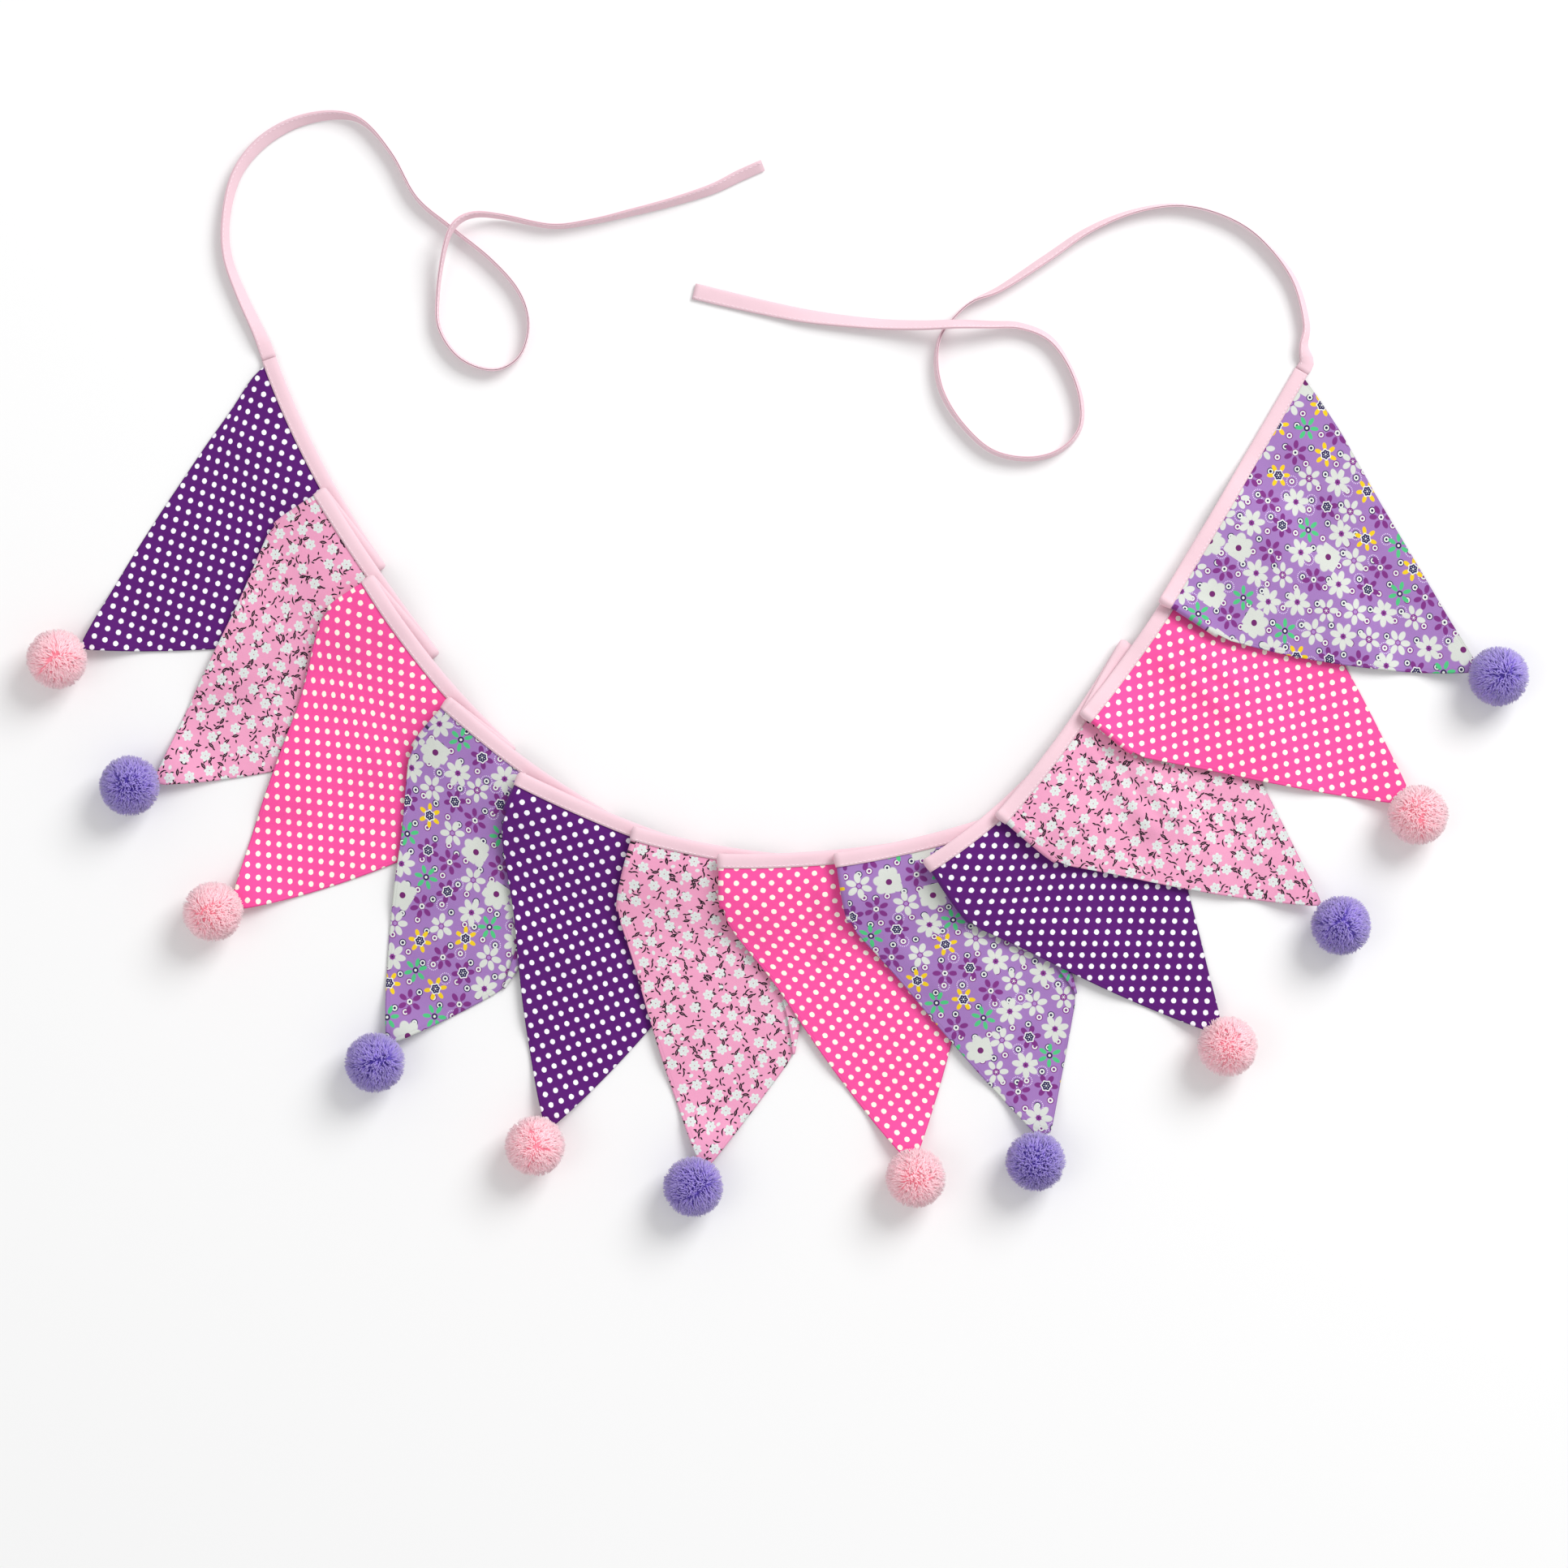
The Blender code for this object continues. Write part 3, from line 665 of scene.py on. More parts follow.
class Finish:
    """One material, built node by node."""

    def __init__(self, name, **surface):
        self.material = bpy.data.materials.new(name)
        self.material.use_nodes = True
        self.tree = self.material.node_tree
        self.shader = self.tree.nodes["Principled BSDF"]
        for socket, value in surface.items():
            self.shader.inputs[socket.replace("_", " ")].default_value = value

    def node(self, kind, settings=None, sockets=None, out=0):
        made = self.tree.nodes.new("ShaderNode" + kind)
        for key, value in (settings or {}).items():
            if key == "stops":
                ramp = made.color_ramp
                while len(ramp.elements) < len(value):
                    ramp.elements.new(1.0)
                for element, (position, colour) in zip(ramp.elements, value):
                    element.position, element.color = position, colour
            elif key == "interpolation":
                made.color_ramp.interpolation = value
            else:
                setattr(made, key, value)
        for key, value in (sockets or {}).items():
            if isinstance(value, Value):
                self.tree.links.new(value.socket, made.inputs[key])
            else:
                made.inputs[key].default_value = value
        return Value(self, made.outputs[out])

    def blend(self, share, below, above):
        """Colour below, with above laid on it where share is 1."""
        return self.node("Mix", {"data_type": "RGBA"}, {0: share, 6: below, 7: above}, 2)

    def along(self, vector):
        split = self.node("SeparateXYZ", None, {0: vector})
        made = split.socket.node
        return [Value(self, made.outputs[k]) for k in range(3)]

    def joined(self, x, y, z=0.0):
        return self.node("CombineXYZ", None, {0: x, 1: y, 2: z})

    def cloth_place(self, map_size):
        """Millimetres along and down the cloth."""
        spot = self.node("UVMap", {"uv_map": "cloth"})
        x, y, _ = self.along(spot)
        return x * map_size, y * map_size

    def noise(self, vector, scale, detail=2.0):
        sockets = {"Vector": vector, "Scale": scale, "Detail": detail}
        return self.node("TexNoise", {"noise_dimensions": "3D"}, sockets)

    def use(self, socket, value):
        self.tree.links.new(value.socket, self.shader.inputs[socket])

    def raise_surface(self, height, strength, distance):
        bump = self.node("Bump", None, {"Height": height, "Strength": strength, "Distance": distance})
        self.use("Normal", bump)


FULL_TURN = 6.283
COTTON = {"Sheen_Weight": 0.12, "Sheen_Roughness": 0.5, "Specular_IOR_Level": 0.2}


def weave(x, y, pitch):
    """Plain weave: threads that pass over and under in turn."""
    over = (x * (math.pi / pitch)).sin() * (y * (math.pi / pitch)).sin()
    ribs = (x * (2 * math.pi / pitch)).cos() + (y * (2 * math.pi / pitch)).cos()
    return over * 0.6 + ribs * 0.2 + 0.5


def cloth_finish(finish, colour, x, y, pitch=0.62, soft=0.075):
    """Base colour whose broad patches are partly the uneven tone of soft cotton and partly painted shade and
    sheen of soft folds, with painted shade along the rolled sewn edges and the seam line, and a weave in the
    surface.
    """
    flat = finish.joined(x, y)
    # Broad patches of tone: partly the uneven cotton, partly painted shade and sheen of soft folds.
    broad = finish.noise(flat, 0.021, 3.0)
    grain = finish.noise(flat, 1.3, 1.0)
    edge = finish.node("Attribute", {"attribute_name": "edge"}, None, 2)
    # Painted shade along the rolled sewn edges, and a fainter painted shade along the seam line, both darken
    # the colour; the seam is also pressed in as a groove in the surface below.
    rolled_edge_shade, seam = edge.under(0.7, 0.45), (edge - 1.9).size().under(0.4, 0.35)
    shade = broad * (2.2 * soft) + grain * soft + (1 - 1.6 * soft) - rolled_edge_shade * 0.2 - seam * 0.05
    tint = finish.node("HueSaturation", None, {"Value": shade, "Color": colour})
    finish.use("Base Color", tint)
    rough = finish.noise(flat, 0.3, 2.0)
    finish.use("Roughness", rough * 0.14 + 0.76)
    crumple = finish.noise(flat, 0.085, 3.0)
    finish.raise_surface(weave(x, y, pitch) * 0.12 + crumple * 1.6 - seam * 0.3, 0.5, 0.0006)


def scatter(finish, x, y, cell, jitter, seed, shift=(0.0, 0.0), slant=0.5):
    """A loose lattice of places. Gives x and y from the nearest place's middle, turned its own way,
    and three chance values of it."""
    row = y / cell + shift[1]
    line = row.floor()
    column = x / cell + line * slant + shift[0]
    cells = finish.joined(column.floor(), line, seed)
    chance = finish.node("TexWhiteNoise", {"noise_dimensions": "3D"}, {"Vector": cells}, 1)
    first, second, third = finish.along(chance)
    across = (column.fract() - 0.5 - (first - 0.5) * jitter) * cell
    down = (row.fract() - 0.5 - (second - 0.5) * jitter) * cell
    sockets = {"Vector": finish.joined(across, down), "Angle": third * FULL_TURN}
    turned = finish.node("VectorRotate", {"rotation_type": "Z_AXIS"}, sockets)
    a, b, _ = finish.along(turned)
    others = finish.joined(line, column.floor(), seed + 7.5)
    other = finish.node("TexWhiteNoise", {"noise_dimensions": "3D"}, {"Vector": others}, 1)
    return a, b, *finish.along(other)


def ring_place(finish, a, b):
    """Distance from the middle, and the angle round it."""
    far = (a * a + b * b) ** 0.5
    return far, finish.node("Math", {"operation": "ARCTAN2"}, {0: b, 1: a})


def petals(far, angle, count, middle, long, wide, soft=0.12):
    """Mask of petals round a middle: how many, how far out, half length and half width."""
    turn = (angle * (count / (2 * math.pi))).fract() - 0.5
    own = turn * (2 * math.pi / count)
    out = (far * own.cos() - middle) / long
    side = far * own.sin() / wide
    return ((out * out + side * side) ** 0.5).under(1.0, soft)


def dotted(name, ground, dots, radius):
    """Staggered rows of round dots."""
    finish = Finish(name, **COTTON)
    x, y = finish.cloth_place(CLOTH_MAP)
    near = None
    for shift in (0.0, 0.5):
        a = ((x / DOT_ALONG + shift).fract() - 0.5) * DOT_ALONG
        b = ((y / DOT_DOWN + shift).fract() - 0.5) * DOT_DOWN
        far = (a * a + b * b) ** 0.5
        near = far if near is None else finish.node("Math", {"operation": "MINIMUM"}, {0: near, 1: far})
    flat = finish.joined(x, y)
    uneven = finish.noise(flat, 0.9, 1.0) * 0.5 - 0.25
    colour = finish.blend((near + uneven).under(radius, 0.14), ground, dots)
    cloth_finish(finish, colour, x, y)
    return finish.material


def sprigged(name):
    """Small white flowers, buds and dark sprigs on light pink."""
    finish = Finish(name, **COTTON)
    x, y = finish.cloth_place(CLOTH_MAP)
    ink, white, grey = tone(14, 14, 20), tone(222, 228, 225), tone(190, 192, 196)
    colour = tone(234, 158, 192)
    for seed, shift in ((1.5, (0.5, 0.0)), (4.5, (0.02, 0.5))):
        a, b, _, second, third = scatter(finish, x, y, SPRIG_CELL, 0.34, seed, shift)
        far, angle = ring_place(finish, a, b)
        leaves = petals(far, angle, (second * 2.99).floor() + 2.0, 3.0, 1.15, 0.5, 0.2)
        bend = b - a * a * 0.12
        stem = ((a / 2.7) * (a / 2.7) + (bend / 0.5) * (bend / 0.5)).under(1.0, 0.22)
        beside = b + a * a * 0.1 - 1.15
        twin = ((a / 2.0) * (a / 2.0) + (beside / 0.44) * (beside / 0.44)).under(1.0, 0.22)
        colour = finish.blend(leaves, colour, ink)
        colour = finish.blend(stem, colour, ink)
        colour = finish.blend(twin * third.over(0.4), colour, ink)
    a, b, first, _, _ = scatter(finish, x, y, SPRIG_CELL, 0.6, 9.5, (0.5, 0.5))
    bud = ((a / 1.5) * (a / 1.5) + (b / 1.1) * (b / 1.1)).under(1.0, 0.2)
    colour = finish.blend(bud * first.over(0.35), colour, white)
    a, b, _, _, _ = scatter(finish, x, y, SPRIG_CELL, 0.44, 2.5)
    far, angle = ring_place(finish, a, b)
    flower = petals(far, angle, 6, 1.95, 1.75, 1.2)
    colour = finish.blend(flower, colour, white)
    turn = (angle * (6 / (2 * math.pi))).fract() - 0.5
    veins = (turn.size() * far).under(0.1, 0.07) * far.under(2.3, 0.4)
    colour = finish.blend(veins * 0.6, colour, grey)
    rims = (far - 1.9).size().under(0.16, 0.14) * flower
    colour = finish.blend(rims * 0.35, colour, grey)
    colour = finish.blend(far.under(0.4, 0.15), colour, tone(205, 125, 155))
    cloth_finish(finish, colour, x, y)
    return finish.material


# The kinds of flower on the lilac cloth. Lengths in millimetres, star is how pointed the heart is,
# dot the size of the spot in the heart.
FLOWERS = [
    # up_to petals middle long wide petal           heart heart colour     rim  rim colour     star studs dot
    (0.11, 7, 5.5, 4.7, 3.5, (208, 212, 205), 2.0, (110, 35, 105), 0.0, (110, 35, 105), 0.0, 0.0, 0.0),
    (0.23, 6, 5.4, 2.5, 1.4, (236, 200, 28), 2.8, (44, 30, 86), 0.75, (228, 231, 228), 0.1, 1.0, 0.22),
    (0.39, 7, 5.5, 3.7, 2.15, (210, 214, 207), 1.7, (128, 48, 132), 0.0, (128, 48, 132), 0.0, 0.0, 0.3),
    (0.56, 6, 5.4, 2.8, 1.7, (124, 48, 128), 1.9, (222, 225, 222), 0.5, (124, 48, 128), 0.04, 0.0, 0.42),
    (0.67, 6, 5.3, 3.3, 2.05, (210, 214, 207), 1.3, (170, 130, 194), 0.55, (128, 52, 132), 0.0, 0.0, 0.0),
    (0.78, 6, 5.2, 2.8, 1.35, (76, 192, 124), 0.9, (222, 225, 222), 1.1, (44, 38, 78), 0.0, 0.0, 0.0),
    (0.89, 6, 5.2, 3.0, 1.85, (210, 214, 207), 2.3, (132, 52, 138), 0.0, (132, 52, 138), 0.03, 1.0, 0.3),
    (1.00, 6, 5.2, 2.7, 1.7, (120, 46, 126), 2.8, (42, 32, 82), 0.75, (228, 231, 228), 0.1, 1.0, 0.2),
]


def flowered(name):
    """Flowers of several kinds in loose rows, with ringed spots between them, on lilac."""
    finish = Finish(name, **COTTON)
    x, y = finish.cloth_place(CLOTH_MAP)
    white, plum, navy = tone(224, 227, 224), tone(122, 48, 128), tone(44, 36, 78)
    colour = tone(158, 118, 182)
    for seed, shift, rim in ((3.5, (0.5, 0.5), plum), (6.5, (0.0, 0.5), navy)):
        a, b, first, _, _ = scatter(finish, x, y, FLOWER_CELL, 0.22, seed, shift)
        far, angle = ring_place(finish, a, b)
        beads = petals(far, angle, 18, 3.6, 0.34, 0.34, 0.3) * first.over(0.82)
        colour = finish.blend(beads, colour, tone(222, 210, 236))
        colour = finish.blend(far.under(2.4, 0.14), colour, rim)
        colour = finish.blend(far.under(1.8, 0.14) * far.over(1.0 - first * 0.2), colour, white)
    a, b, chance, _, _ = scatter(finish, x, y, FLOWER_CELL, 0.2, 5.5)
    far, angle = ring_place(finish, a, b)
    line = (y / FLOWER_CELL).floor()
    column = (x / FLOWER_CELL + line * 0.5).floor()
    kind = (column * 0.382 + line * 0.309 + chance * 0.3).fract()

    def by_kind(column, scale=None):
        starts = [0.0] + [row[0] for row in FLOWERS[:-1]]
        stops = [
            (start, tone(*row[column]) if scale is None else (row[column] / scale,) * 3 + (1.0,))
            for start, row in zip(starts, FLOWERS)
        ]
        ramp = finish.node("ValToRGB", {"stops": stops, "interpolation": "CONSTANT"}, {0: kind})
        return ramp if scale is None else ramp * scale

    mask = petals(far, angle, by_kind(1, 10), by_kind(2, 10), by_kind(3, 10), by_kind(4, 10))
    colour = finish.blend(mask, colour, by_kind(5))
    heart = by_kind(6, 10)
    inner = far * (1.0 + (angle * 6.0).cos() * by_kind(10, 1))
    colour = finish.blend((inner - heart - by_kind(8, 10)).under(0.0, 0.12), colour, by_kind(9))
    colour = finish.blend((inner - heart).under(0.0, 0.14), colour, by_kind(7))
    studs = petals(far / heart, angle, 6, 0.56, 0.1, 0.1, 0.25) * by_kind(11, 1)
    colour = finish.blend(studs, colour, white)
    spot = finish.blend(by_kind(11, 1), navy, white)
    colour = finish.blend((far / heart - by_kind(12, 1)).under(0.0, 0.06), colour, spot)
    cloth_finish(finish, colour, x, y)
    return finish.material


def tape_finish(name):
    finish = Finish(name, Sheen_Weight=0.2, Sheen_Roughness=0.5, Specular_IOR_Level=0.25)
    x, y = finish.cloth_place(TAPE_MAP)
    cloth_finish(finish, tone(234, 200, 210), x, y, 0.5, 0.035)
    return finish.material


def thread_finish(name):
    finish = Finish(name, Sheen_Weight=0.1, Specular_IOR_Level=0.4)
    spot = finish.node("TexCoord", None, None, 3)
    grain = finish.noise(spot, 1400.0, 1.0)
    colour = finish.blend(grain, tone(236, 208, 219), tone(253, 236, 242))
    finish.use("Base Color", colour)
    finish.use("Roughness", grain * 0.2 + 0.55)
    return finish.material


def yarn_finish(name, root, middle, end, painted_glow):
    """Yarn darker towards the roots of its strands, painted shade between them, with lighter ends and a
    painted glow in place of the light that the thin yarn lets through.
    """
    finish = Finish(name, Sheen_Weight=0.5, Sheen_Roughness=0.6, Specular_IOR_Level=0.2)
    reach = finish.node("Attribute", {"attribute_name": "reach"}, None, 2)
    own = finish.node("Attribute", {"attribute_name": "own"}, None, 2)
    # Darker towards the roots: painted shade deep between the strands; lighter at their ends.
    ramp = finish.node("ValToRGB", {"stops": [(0.0, root), (0.55, middle), (1.0, end)]}, {0: reach})
    varied = {"Value": own * 0.26 + 0.87, "Saturation": own * 0.16 + 0.92, "Color": ramp}
    tint = finish.node("HueSaturation", None, varied)
    finish.use("Base Color", tint)
    # Painted glow: the yarn gives out its own colour as light, in place of the light that passes through the
    # thin yarn.
    finish.use("Emission Color", tint)
    finish.shader.inputs["Emission Strength"].default_value = painted_glow
    spot = finish.node("TexCoord", None, None, 3)
    fuzz = finish.noise(spot, 2600.0, 2.0)
    finish.use("Roughness", fuzz * 0.15 + 0.8)
    finish.raise_surface(fuzz, 0.4, 0.0003)
    return finish.material


# Pieces


def make_pennant(flags, index, material):
    pennant = flags[index]
    columns = [c for c in columns_of(flags, index) if 1.0 <= c[2] <= pennant.width - 1.0]
    rows = [rows_of(pennant, c[2]) for c in columns]
    shift = (8 + index * 29 % 80, 8 + index * 47 % 70)

    def fullness(i, j):
        """The two layers close up along the sewn edges."""
        edge = rows[i][-1] - rows[i][j]
        return min(1.0, 0.35 + 0.65 * math.sqrt(edge / HEM[0])) if rows[i][-1] > SHORT else 0.8

    thing = cloth_grid(
        f"pennant_{index + 1:02d}_cloth",
        len(columns),
        ROWS,
        lambda i, j: place(flags, index, columns[i], rows[i][j], 0.0),
        lambda i, j: ((columns[i][2] + shift[0]) / CLOTH_MAP, (rows[i][j] + shift[1]) / CLOTH_MAP),
        CLOTH,
        material,
        fullness,
        lambda i, j: EDGE_SHARE * (rows[i][-1] - rows[i][j]),
    )
    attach(thing, "root")
    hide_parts(f"pennant_{index + 1:02d}")
    wide, high = pennant.width * MM, pennant.height * MM
    area = wide * ((high + CORNER * MM) / 2 + (sum(pennant.bows) / 3 - RAW_EDGE) * MM)


def full_section(half):
    """The folded tape from one cut edge round its outer fold to the other."""
    return [(y, -off) for y, off in half] + [(0.28, 0.0)] + [(y, off) for y, off in reversed(half)]


def lengths_along(points):
    found = [0.0]
    for a, b in zip(points, points[1:]):
        found.append(found[-1] + math.dist(a, b))
    return found


def stitch_height(section):
    """Of the stitches over the middle of the folded tape."""
    return section[1][1] + LEAF / 2 + 0.02


def make_binding(flags, material, thread):
    stations = [(k, c) for k in range(len(flags)) for c in columns_of(flags, k)]
    section = full_section(TAPE_SECTION)
    run, before = [0.0], None
    for k, c in stations:
        here = place(flags, k, c, TAPE_WIDTH / 2, 0.0)
        if before is not None:
            run.append(run[-1] + (here - before).length / MM)
        before = here
    girth = lengths_along(section)

    def slim(i):
        """The tape closes up a little where it runs on into a tie."""
        return mix(TAPE_SLIM, 1.0, ease(min(run[i], run[-1] - run[i]) / 9))

    thing = cloth_grid(
        "binding_tape",
        len(stations),
        len(section),
        lambda i, j: place(flags, stations[i][0], stations[i][1], section[j][0], section[j][1] * slim(i)),
        lambda i, j: (run[i] / TAPE_MAP, 0.1 + girth[j] / TAPE_MAP),
        LEAF,
        material,
    )
    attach(thing, "root")
    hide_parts("binding")
    raised = stitch_height(TAPE_SECTION)
    places = []
    for k, pennant in enumerate(flags):
        u = pennant.turned + 2
        while u + STITCH < pennant.turned + pennant.length - 1:
            for off in (raised, -raised):
                places.append([place(flags, k, ("front", v, v), STITCH_LINE, off) for v in (u, u + STITCH)])
            u += STITCH_PITCH
    seam = make_stitches("binding_stitches", places, thread)


def thread_shape(name, segments, girths, capped):
    """A mesh of rings along Z from 0 to 1, copied wherever a thread or strand lies."""
    bm = bmesh.new()
    ring = bmesh.ops.create_circle(bm, segments=segments, radius=girths[0], cap_ends=capped)["verts"]
    edges = list(dict.fromkeys(e for v in ring for e in v.link_edges))
    for k, (girth, before) in enumerate(zip(girths[1:], girths)):
        made = bmesh.ops.extrude_edge_only(bm, edges=edges)["geom"]
        ring = [v for v in made if isinstance(v, bmesh.types.BMVert)]
        edges = [e for e in made if isinstance(e, bmesh.types.BMEdge)]
        share = girth / before
        for vert in ring:
            vert.co = Vector((vert.co.x * share, vert.co.y * share, (k + 1) / (len(girths) - 1)))
    bmesh.ops.edgeloop_fill(bm, edges=edges)
    bmesh.ops.recalc_face_normals(bm, faces=bm.faces)
    return mesh_of(name, bm)


def add_copy(bm, shape):
    """The vertices of one more copy of a shape."""
    count = len(bm.verts)
    bm.from_mesh(shape)
    bm.verts.ensure_lookup_table()
    return bm.verts[count:]


def make_stitches(name, places, thread):
    """Short threads that dip into the tape at both ends."""
    bm = bmesh.new()
    shape = thread_shape("stitch", 5, (0.1, 0.26, 0.26, 0.1), True)
    for a, b in places:
        way = b - a
        turn = way.to_track_quat("Z", "Y").to_matrix().to_4x4()
        matrix = Matrix.Translation(a) @ turn @ Matrix.Diagonal((MM, MM, way.length, 1))
        bmesh.ops.transform(bm, matrix=matrix, verts=add_copy(bm, shape))
    bpy.data.meshes.remove(shape)
    thing = piece_of(name, mesh_of(name, bm), thread)
    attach(thing, "root")
    return thing


def make_tie(name, start, heading, rows, material, thread):
    """A free end of the folded tape, turned up on its edge where the table says so."""
    first = start + heading * TIE_START
    second = start + heading * (TIE_START + 7)
    route = [(first.x, first.y, 0.0, 0.8), (second.x, second.y, 8.0, 0.4)] + rows
    stations, length = smooth_route(route, 3.2)
    section = full_section(TIE_SECTION)

    def spot_at(column, from_fold, off):
        x, y, turn, lift = stations[column]
        before, after = stations[max(column - 1, 0)], stations[min(column + 1, len(stations) - 1)]
        run = Vector((after[0] - before[0], after[1] - before[1])).normalized()
        if column == 0:
            run = heading
        angle = math.radians(turn)
        left = length * (len(stations) - 1 - column) / (len(stations) - 1)
        width = mix(TIE_END_WIDTH, TIE_WIDTH, ease(left / 70)) if turn < 20 else TIE_WIDTH
        low = 0.5 * (width * abs(math.sin(angle)) + TIE_THICK * abs(math.cos(angle))) + TIE_CLEAR
        side = Vector((-run.y * math.cos(angle), run.x * math.cos(angle), math.sin(angle)))
        face = Vector((run.y * math.sin(angle), -run.x * math.sin(angle), math.cos(angle)))
        across = width * (from_fold / TIE_WIDTH - 0.5)
        return (Vector((x, y, low + lift)) + side * across + face * off) * MM

    girth = lengths_along(section)
    thing = cloth_grid(
        f"{name}_tape",
        len(stations),
        len(section),
        lambda i, j: spot_at(i, *section[j]),
        lambda i, j: (length * i / (len(stations) - 1) / TAPE_MAP, 0.1 + girth[j] / TAPE_MAP),
        LEAF,
        material,
    )
    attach(thing, "root")
    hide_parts(name)
    path = [spot_at(i, TIE_WIDTH / 2, 0.0) for i in range(len(stations))]
    real = sum((b - a).length for a, b in zip(path, path[1:]))
    raised = stitch_height(TIE_SECTION)
    places = []
    for i in range(1, len(stations) - 1):
        for off in (raised, -raised):
            a, b = spot_at(i, STITCH_LINE, off), spot_at(i + 1, STITCH_LINE, off)
            places.append((a.lerp(b, 0.1), a.lerp(b, 0.82)))
    seam = make_stitches(f"{name}_stitches", places, thread)


def make_pompom(flags, index, material):
    """A dense ball of short yarn ends on a small heart of the same yarn."""
    pennant = flags[index]
    chance = random.Random(70 + index)
    bm = bmesh.new()
    reach_layer = bm.verts.layers.float.new("reach")
    own_layer = bm.verts.layers.float.new("own")
    centre = Vector((pennant.pom.x, pennant.pom.y, POMPOM_HEIGHT))
    heart = bmesh.ops.create_icosphere(bm, subdivisions=3, radius=HEART)["verts"]
    for vert in heart:
        # The heart takes the root colour: painted shade deep inside the ball.
        vert[reach_layer], vert[own_layer] = 0.0, 0.4
        vert.co *= 1 + chance.uniform(-0.03, 0.03)
        vert.co += centre
    whorls = [Vector([chance.uniform(-1, 1) for _ in range(3)]).normalized() for _ in range(WHORLS)]
    golden = math.pi * (3 - math.sqrt(5))
    shape = thread_shape("strand", 3, (1.0, 1.15, 0.5), False)
    for k in range(STRANDS):
        z = 1 - 2 * (k + 0.5) / STRANDS
        flat = math.sqrt(1 - z * z)
        way = Vector((flat * math.cos(golden * k), flat * math.sin(golden * k), z))
        way = (way + Vector([chance.gauss(0, STRAY) for _ in range(3)])).normalized()
        lean = min(whorls, key=lambda w: (w - way).length)
        reach = LOCK_REACH * chance.choice(LOCK_LENGTHS) * chance.uniform(0.95, 1.0)
        reach += 0.5 * noise.noise(way * 3.0 + Vector((index, 0, 0)))
        stray = Vector([chance.gauss(0, BEND) for _ in range(3)])
        bent = (way + (lean - way) * LEAN + stray).normalized()
        if bent.z < 0:
            reach = min(reach, (POMPOM_HEIGHT - 0.25) / -bent.z)
        end = centre + bent * reach
        plan = Vector((end.x, end.y))
        if pennant.outside(plan) < NEAR_EDGE:
            y = (plan - pennant.tip).dot(pennant.down) + pennant.height
            sheet = height_of(flags, index, plan) + tip_lift(pennant, y)
            if abs(end.z - sheet) < NEAR_CLOTH:
                reach = min(reach, CORE + 0.4)
                end = centre + bent * reach
        root = centre + way * ROOT
        middle = centre + (way * 0.6 + bent * 0.4).normalized() * mix(ROOT, reach, 0.62)
        own = chance.random()
        thick = chance.uniform(*STRAND_THICK)
        turn = (end - root).to_track_quat("Z", "Y").to_matrix()
        for vert in add_copy(bm, shape):
            level = vert.co.z
            # The share picks the yarn colour: dark at the root as painted shade, light at the end.
            base, share = (root, 0.0) if level < 0.25 else (end, 1.0) if level > 0.75 else (middle, 0.55)
            vert.co = base + turn @ Vector((vert.co.x, vert.co.y, 0)) * thick
            vert[reach_layer], vert[own_layer] = share, own
    bpy.data.meshes.remove(shape)
    for vert in bm.verts:
        vert.co.z = max(vert.co.z, TABLE_GAP)
    bmesh.ops.scale(bm, vec=(MM, MM, MM), verts=bm.verts)
    name = f"pompom_{index + 1:02d}_yarn"
    thing = piece_of(name, mesh_of(name, bm), material)
    mesh = thing.data
    outward = [(v.co - centre * MM).normalized() for v in mesh.vertices]
    own = [n.vector.copy() for n in mesh.vertex_normals]
    soft = [(a * 0.72 + b * 0.28).normalized() for a, b in zip(outward, own)]
    mesh.normals_split_custom_set_from_vertices(soft)
    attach(thing, "root")
    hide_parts(f"pompom_{index + 1:02d}")


CAMERA_HIGH = 3.0
VIEW_WIDE = 1.0433  # of the table, across the picture
SENSOR = 36


def make_camera():
    """Straight above the table."""
    data = bpy.data.cameras.new("camera")
    data.sensor_width = SENSOR
    data.lens = SENSOR * CAMERA_HIGH / VIEW_WIDE
    data.clip_end = 20
    data.dof.use_dof = False
    camera = bpy.data.objects.new("camera", data)
    camera.location = (0.00324, 0.00135, CAMERA_HIGH)
    bpy.context.scene.collection.objects.link(camera)
    bpy.context.scene.camera = camera


FLOOR_GAP = 0.0004
LAMPS = [
    # name    place             size power
    ("key", (2.2, 2.5, 3.1), 2.3, 150.0),
    ("fill", (-2.4, -0.6, 3.4), 2.0, 16.0),
]


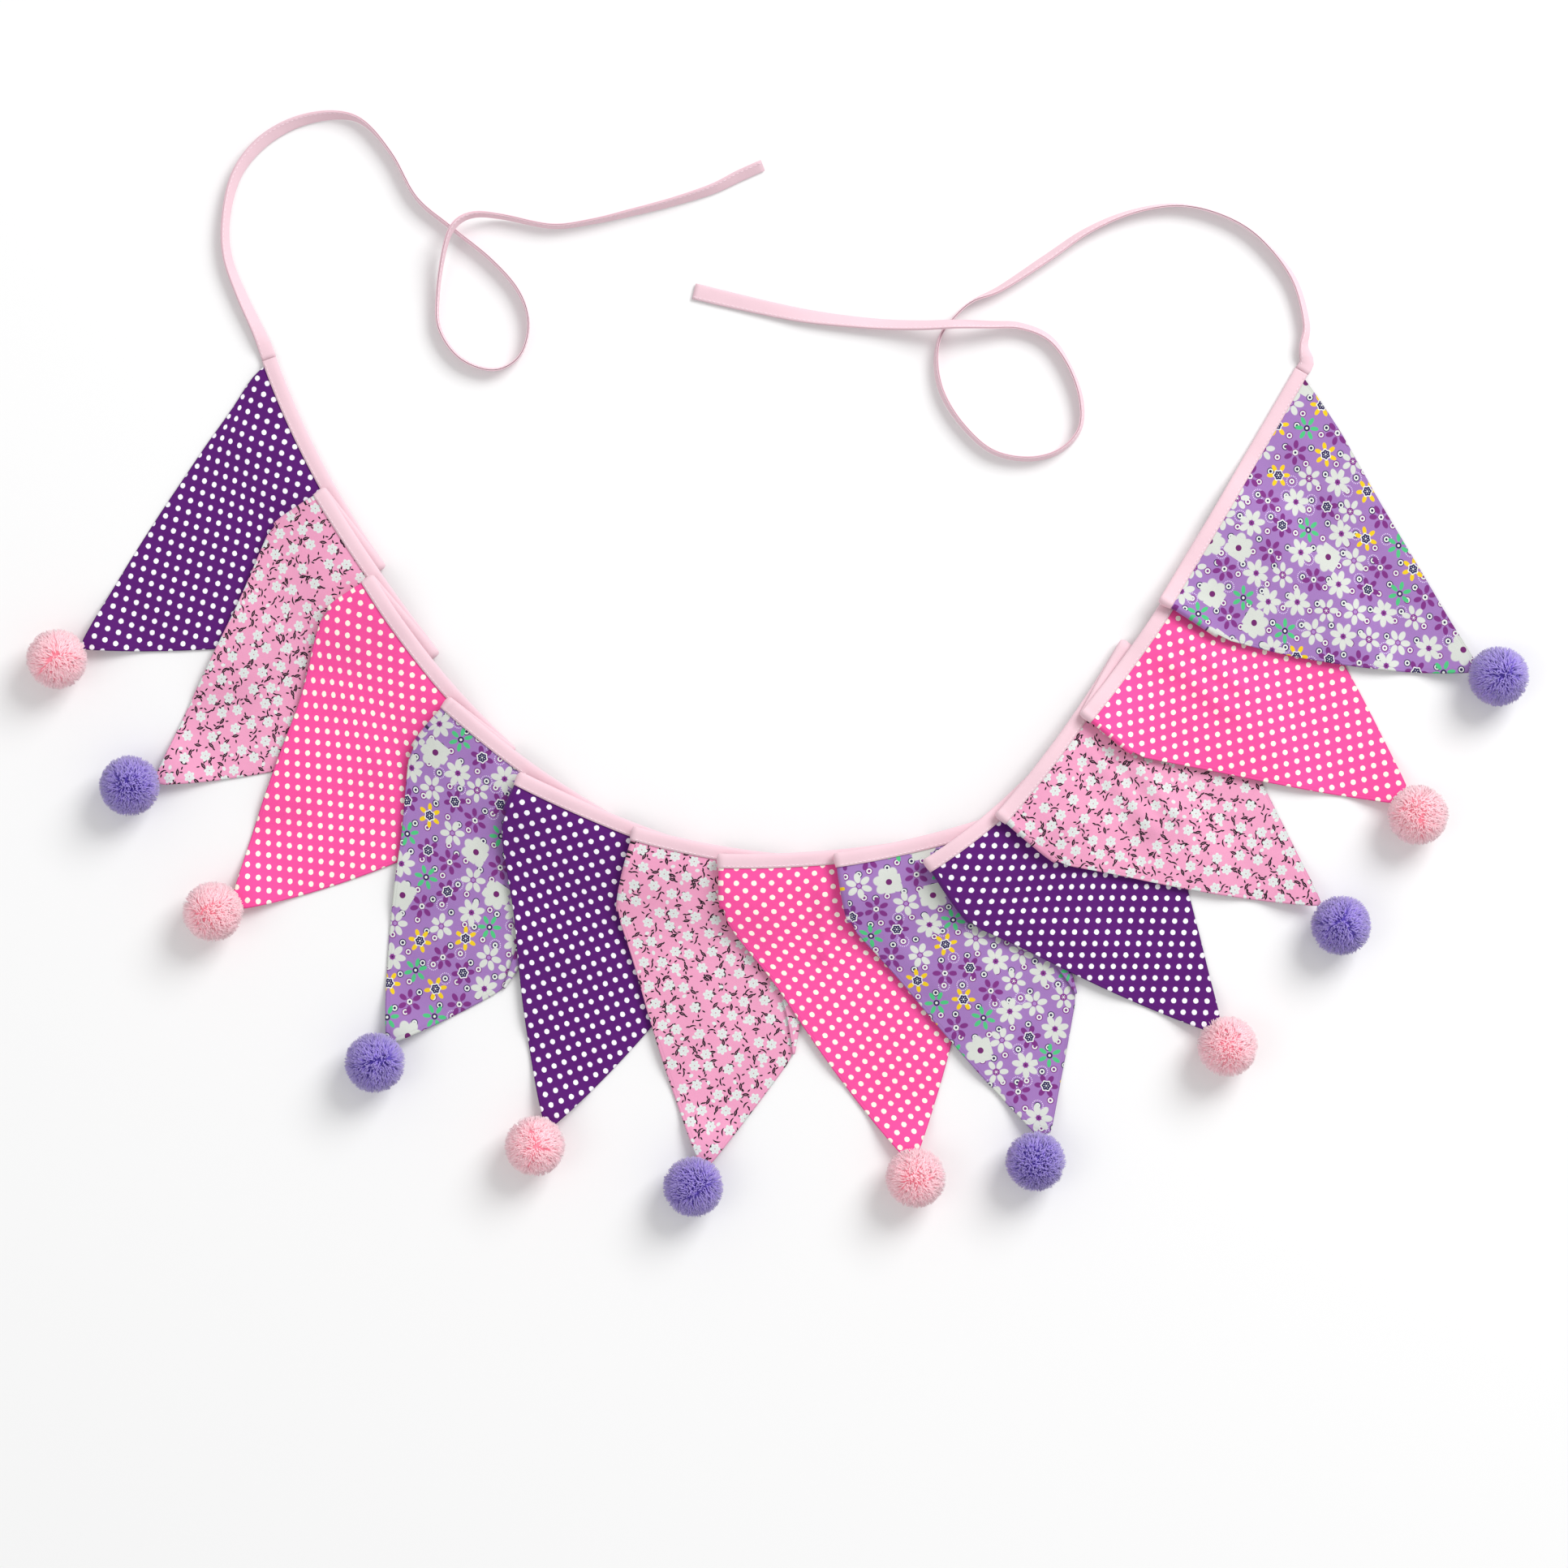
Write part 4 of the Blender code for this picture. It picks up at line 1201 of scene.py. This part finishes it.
def make_stage():
    """A plain pale floor, soft light from everywhere and two large lamps."""
    bm = bmesh.new()
    bmesh.ops.create_grid(bm, x_segments=1, y_segments=1, size=6.0)
    bmesh.ops.translate(bm, vec=(0, 0, -FLOOR_GAP), verts=bm.verts)
    finish = Finish("floor paint", Base_Color=(0.9, 0.9, 0.9, 1), Roughness=0.9, Specular_IOR_Level=0.1)
    floor = piece_of("floor", mesh_of("floor", bm), finish.material)
    world = bpy.data.worlds.new("room")
    world.use_nodes = True
    sky = world.node_tree.nodes["Background"]
    sky.inputs["Color"].default_value = (1.0, 1.0, 1.0, 1)
    sky.inputs["Strength"].default_value = 0.6
    bpy.context.scene.world = world
    for name, spot, size, energy in LAMPS:
        data = bpy.data.lights.new(name, "AREA")
        data.size = size
        data.energy = energy
        lamp = bpy.data.objects.new(name, data)
        lamp.location = spot
        lamp.rotation_euler = (-Vector(spot)).to_track_quat("-Z", "Y").to_euler()
        bpy.context.scene.collection.objects.link(lamp)
    bpy.context.scene.view_settings.view_transform = "Standard"


def make_bunting():
    make_camera()
    make_stage()
    flags = make_pennants()
    tape, thread = tape_finish("cotton tape"), thread_finish("sewing thread")
    first, last = flags[0], flags[-1]
    left_end = first.plan(0.0, TAPE_WIDTH / 2)
    right_end = last.plan(last.turned + last.length, TAPE_WIDTH / 2)
    make_tie("tie_left", left_end, -first.tangent(0), TIE_LEFT, tape, thread)
    make_tie("tie_right", right_end, last.tangent(1), TIE_RIGHT, tape, thread)
    prints = [
        dotted("purple dots", tone(88, 20, 112), tone(246, 243, 250), 1.72),
        sprigged("rose sprigs"),
        dotted("bright pink dots", tone(248, 82, 160), tone(255, 246, 232), 1.75),
        flowered("lilac flowers"),
    ]
    # Yarns: root, middle and end colours, the darker roots being painted shade between the strands, then the
    # strength of a painted glow.
    yarns = [
        yarn_finish("pink yarn", tone(244, 132, 152), tone(255, 186, 198), tone(255, 214, 221), 0.26),
        yarn_finish("purple yarn", tone(80, 56, 166), tone(136, 114, 208), tone(178, 160, 232), 0.1),
    ]
    for index in range(len(flags)):
        make_pennant(flags, index, prints[index % 4])
        make_pompom(flags, index, yarns[index % 2])
    make_binding(flags, tape, thread)


make_bunting()
bpy.context.view_layer.update()
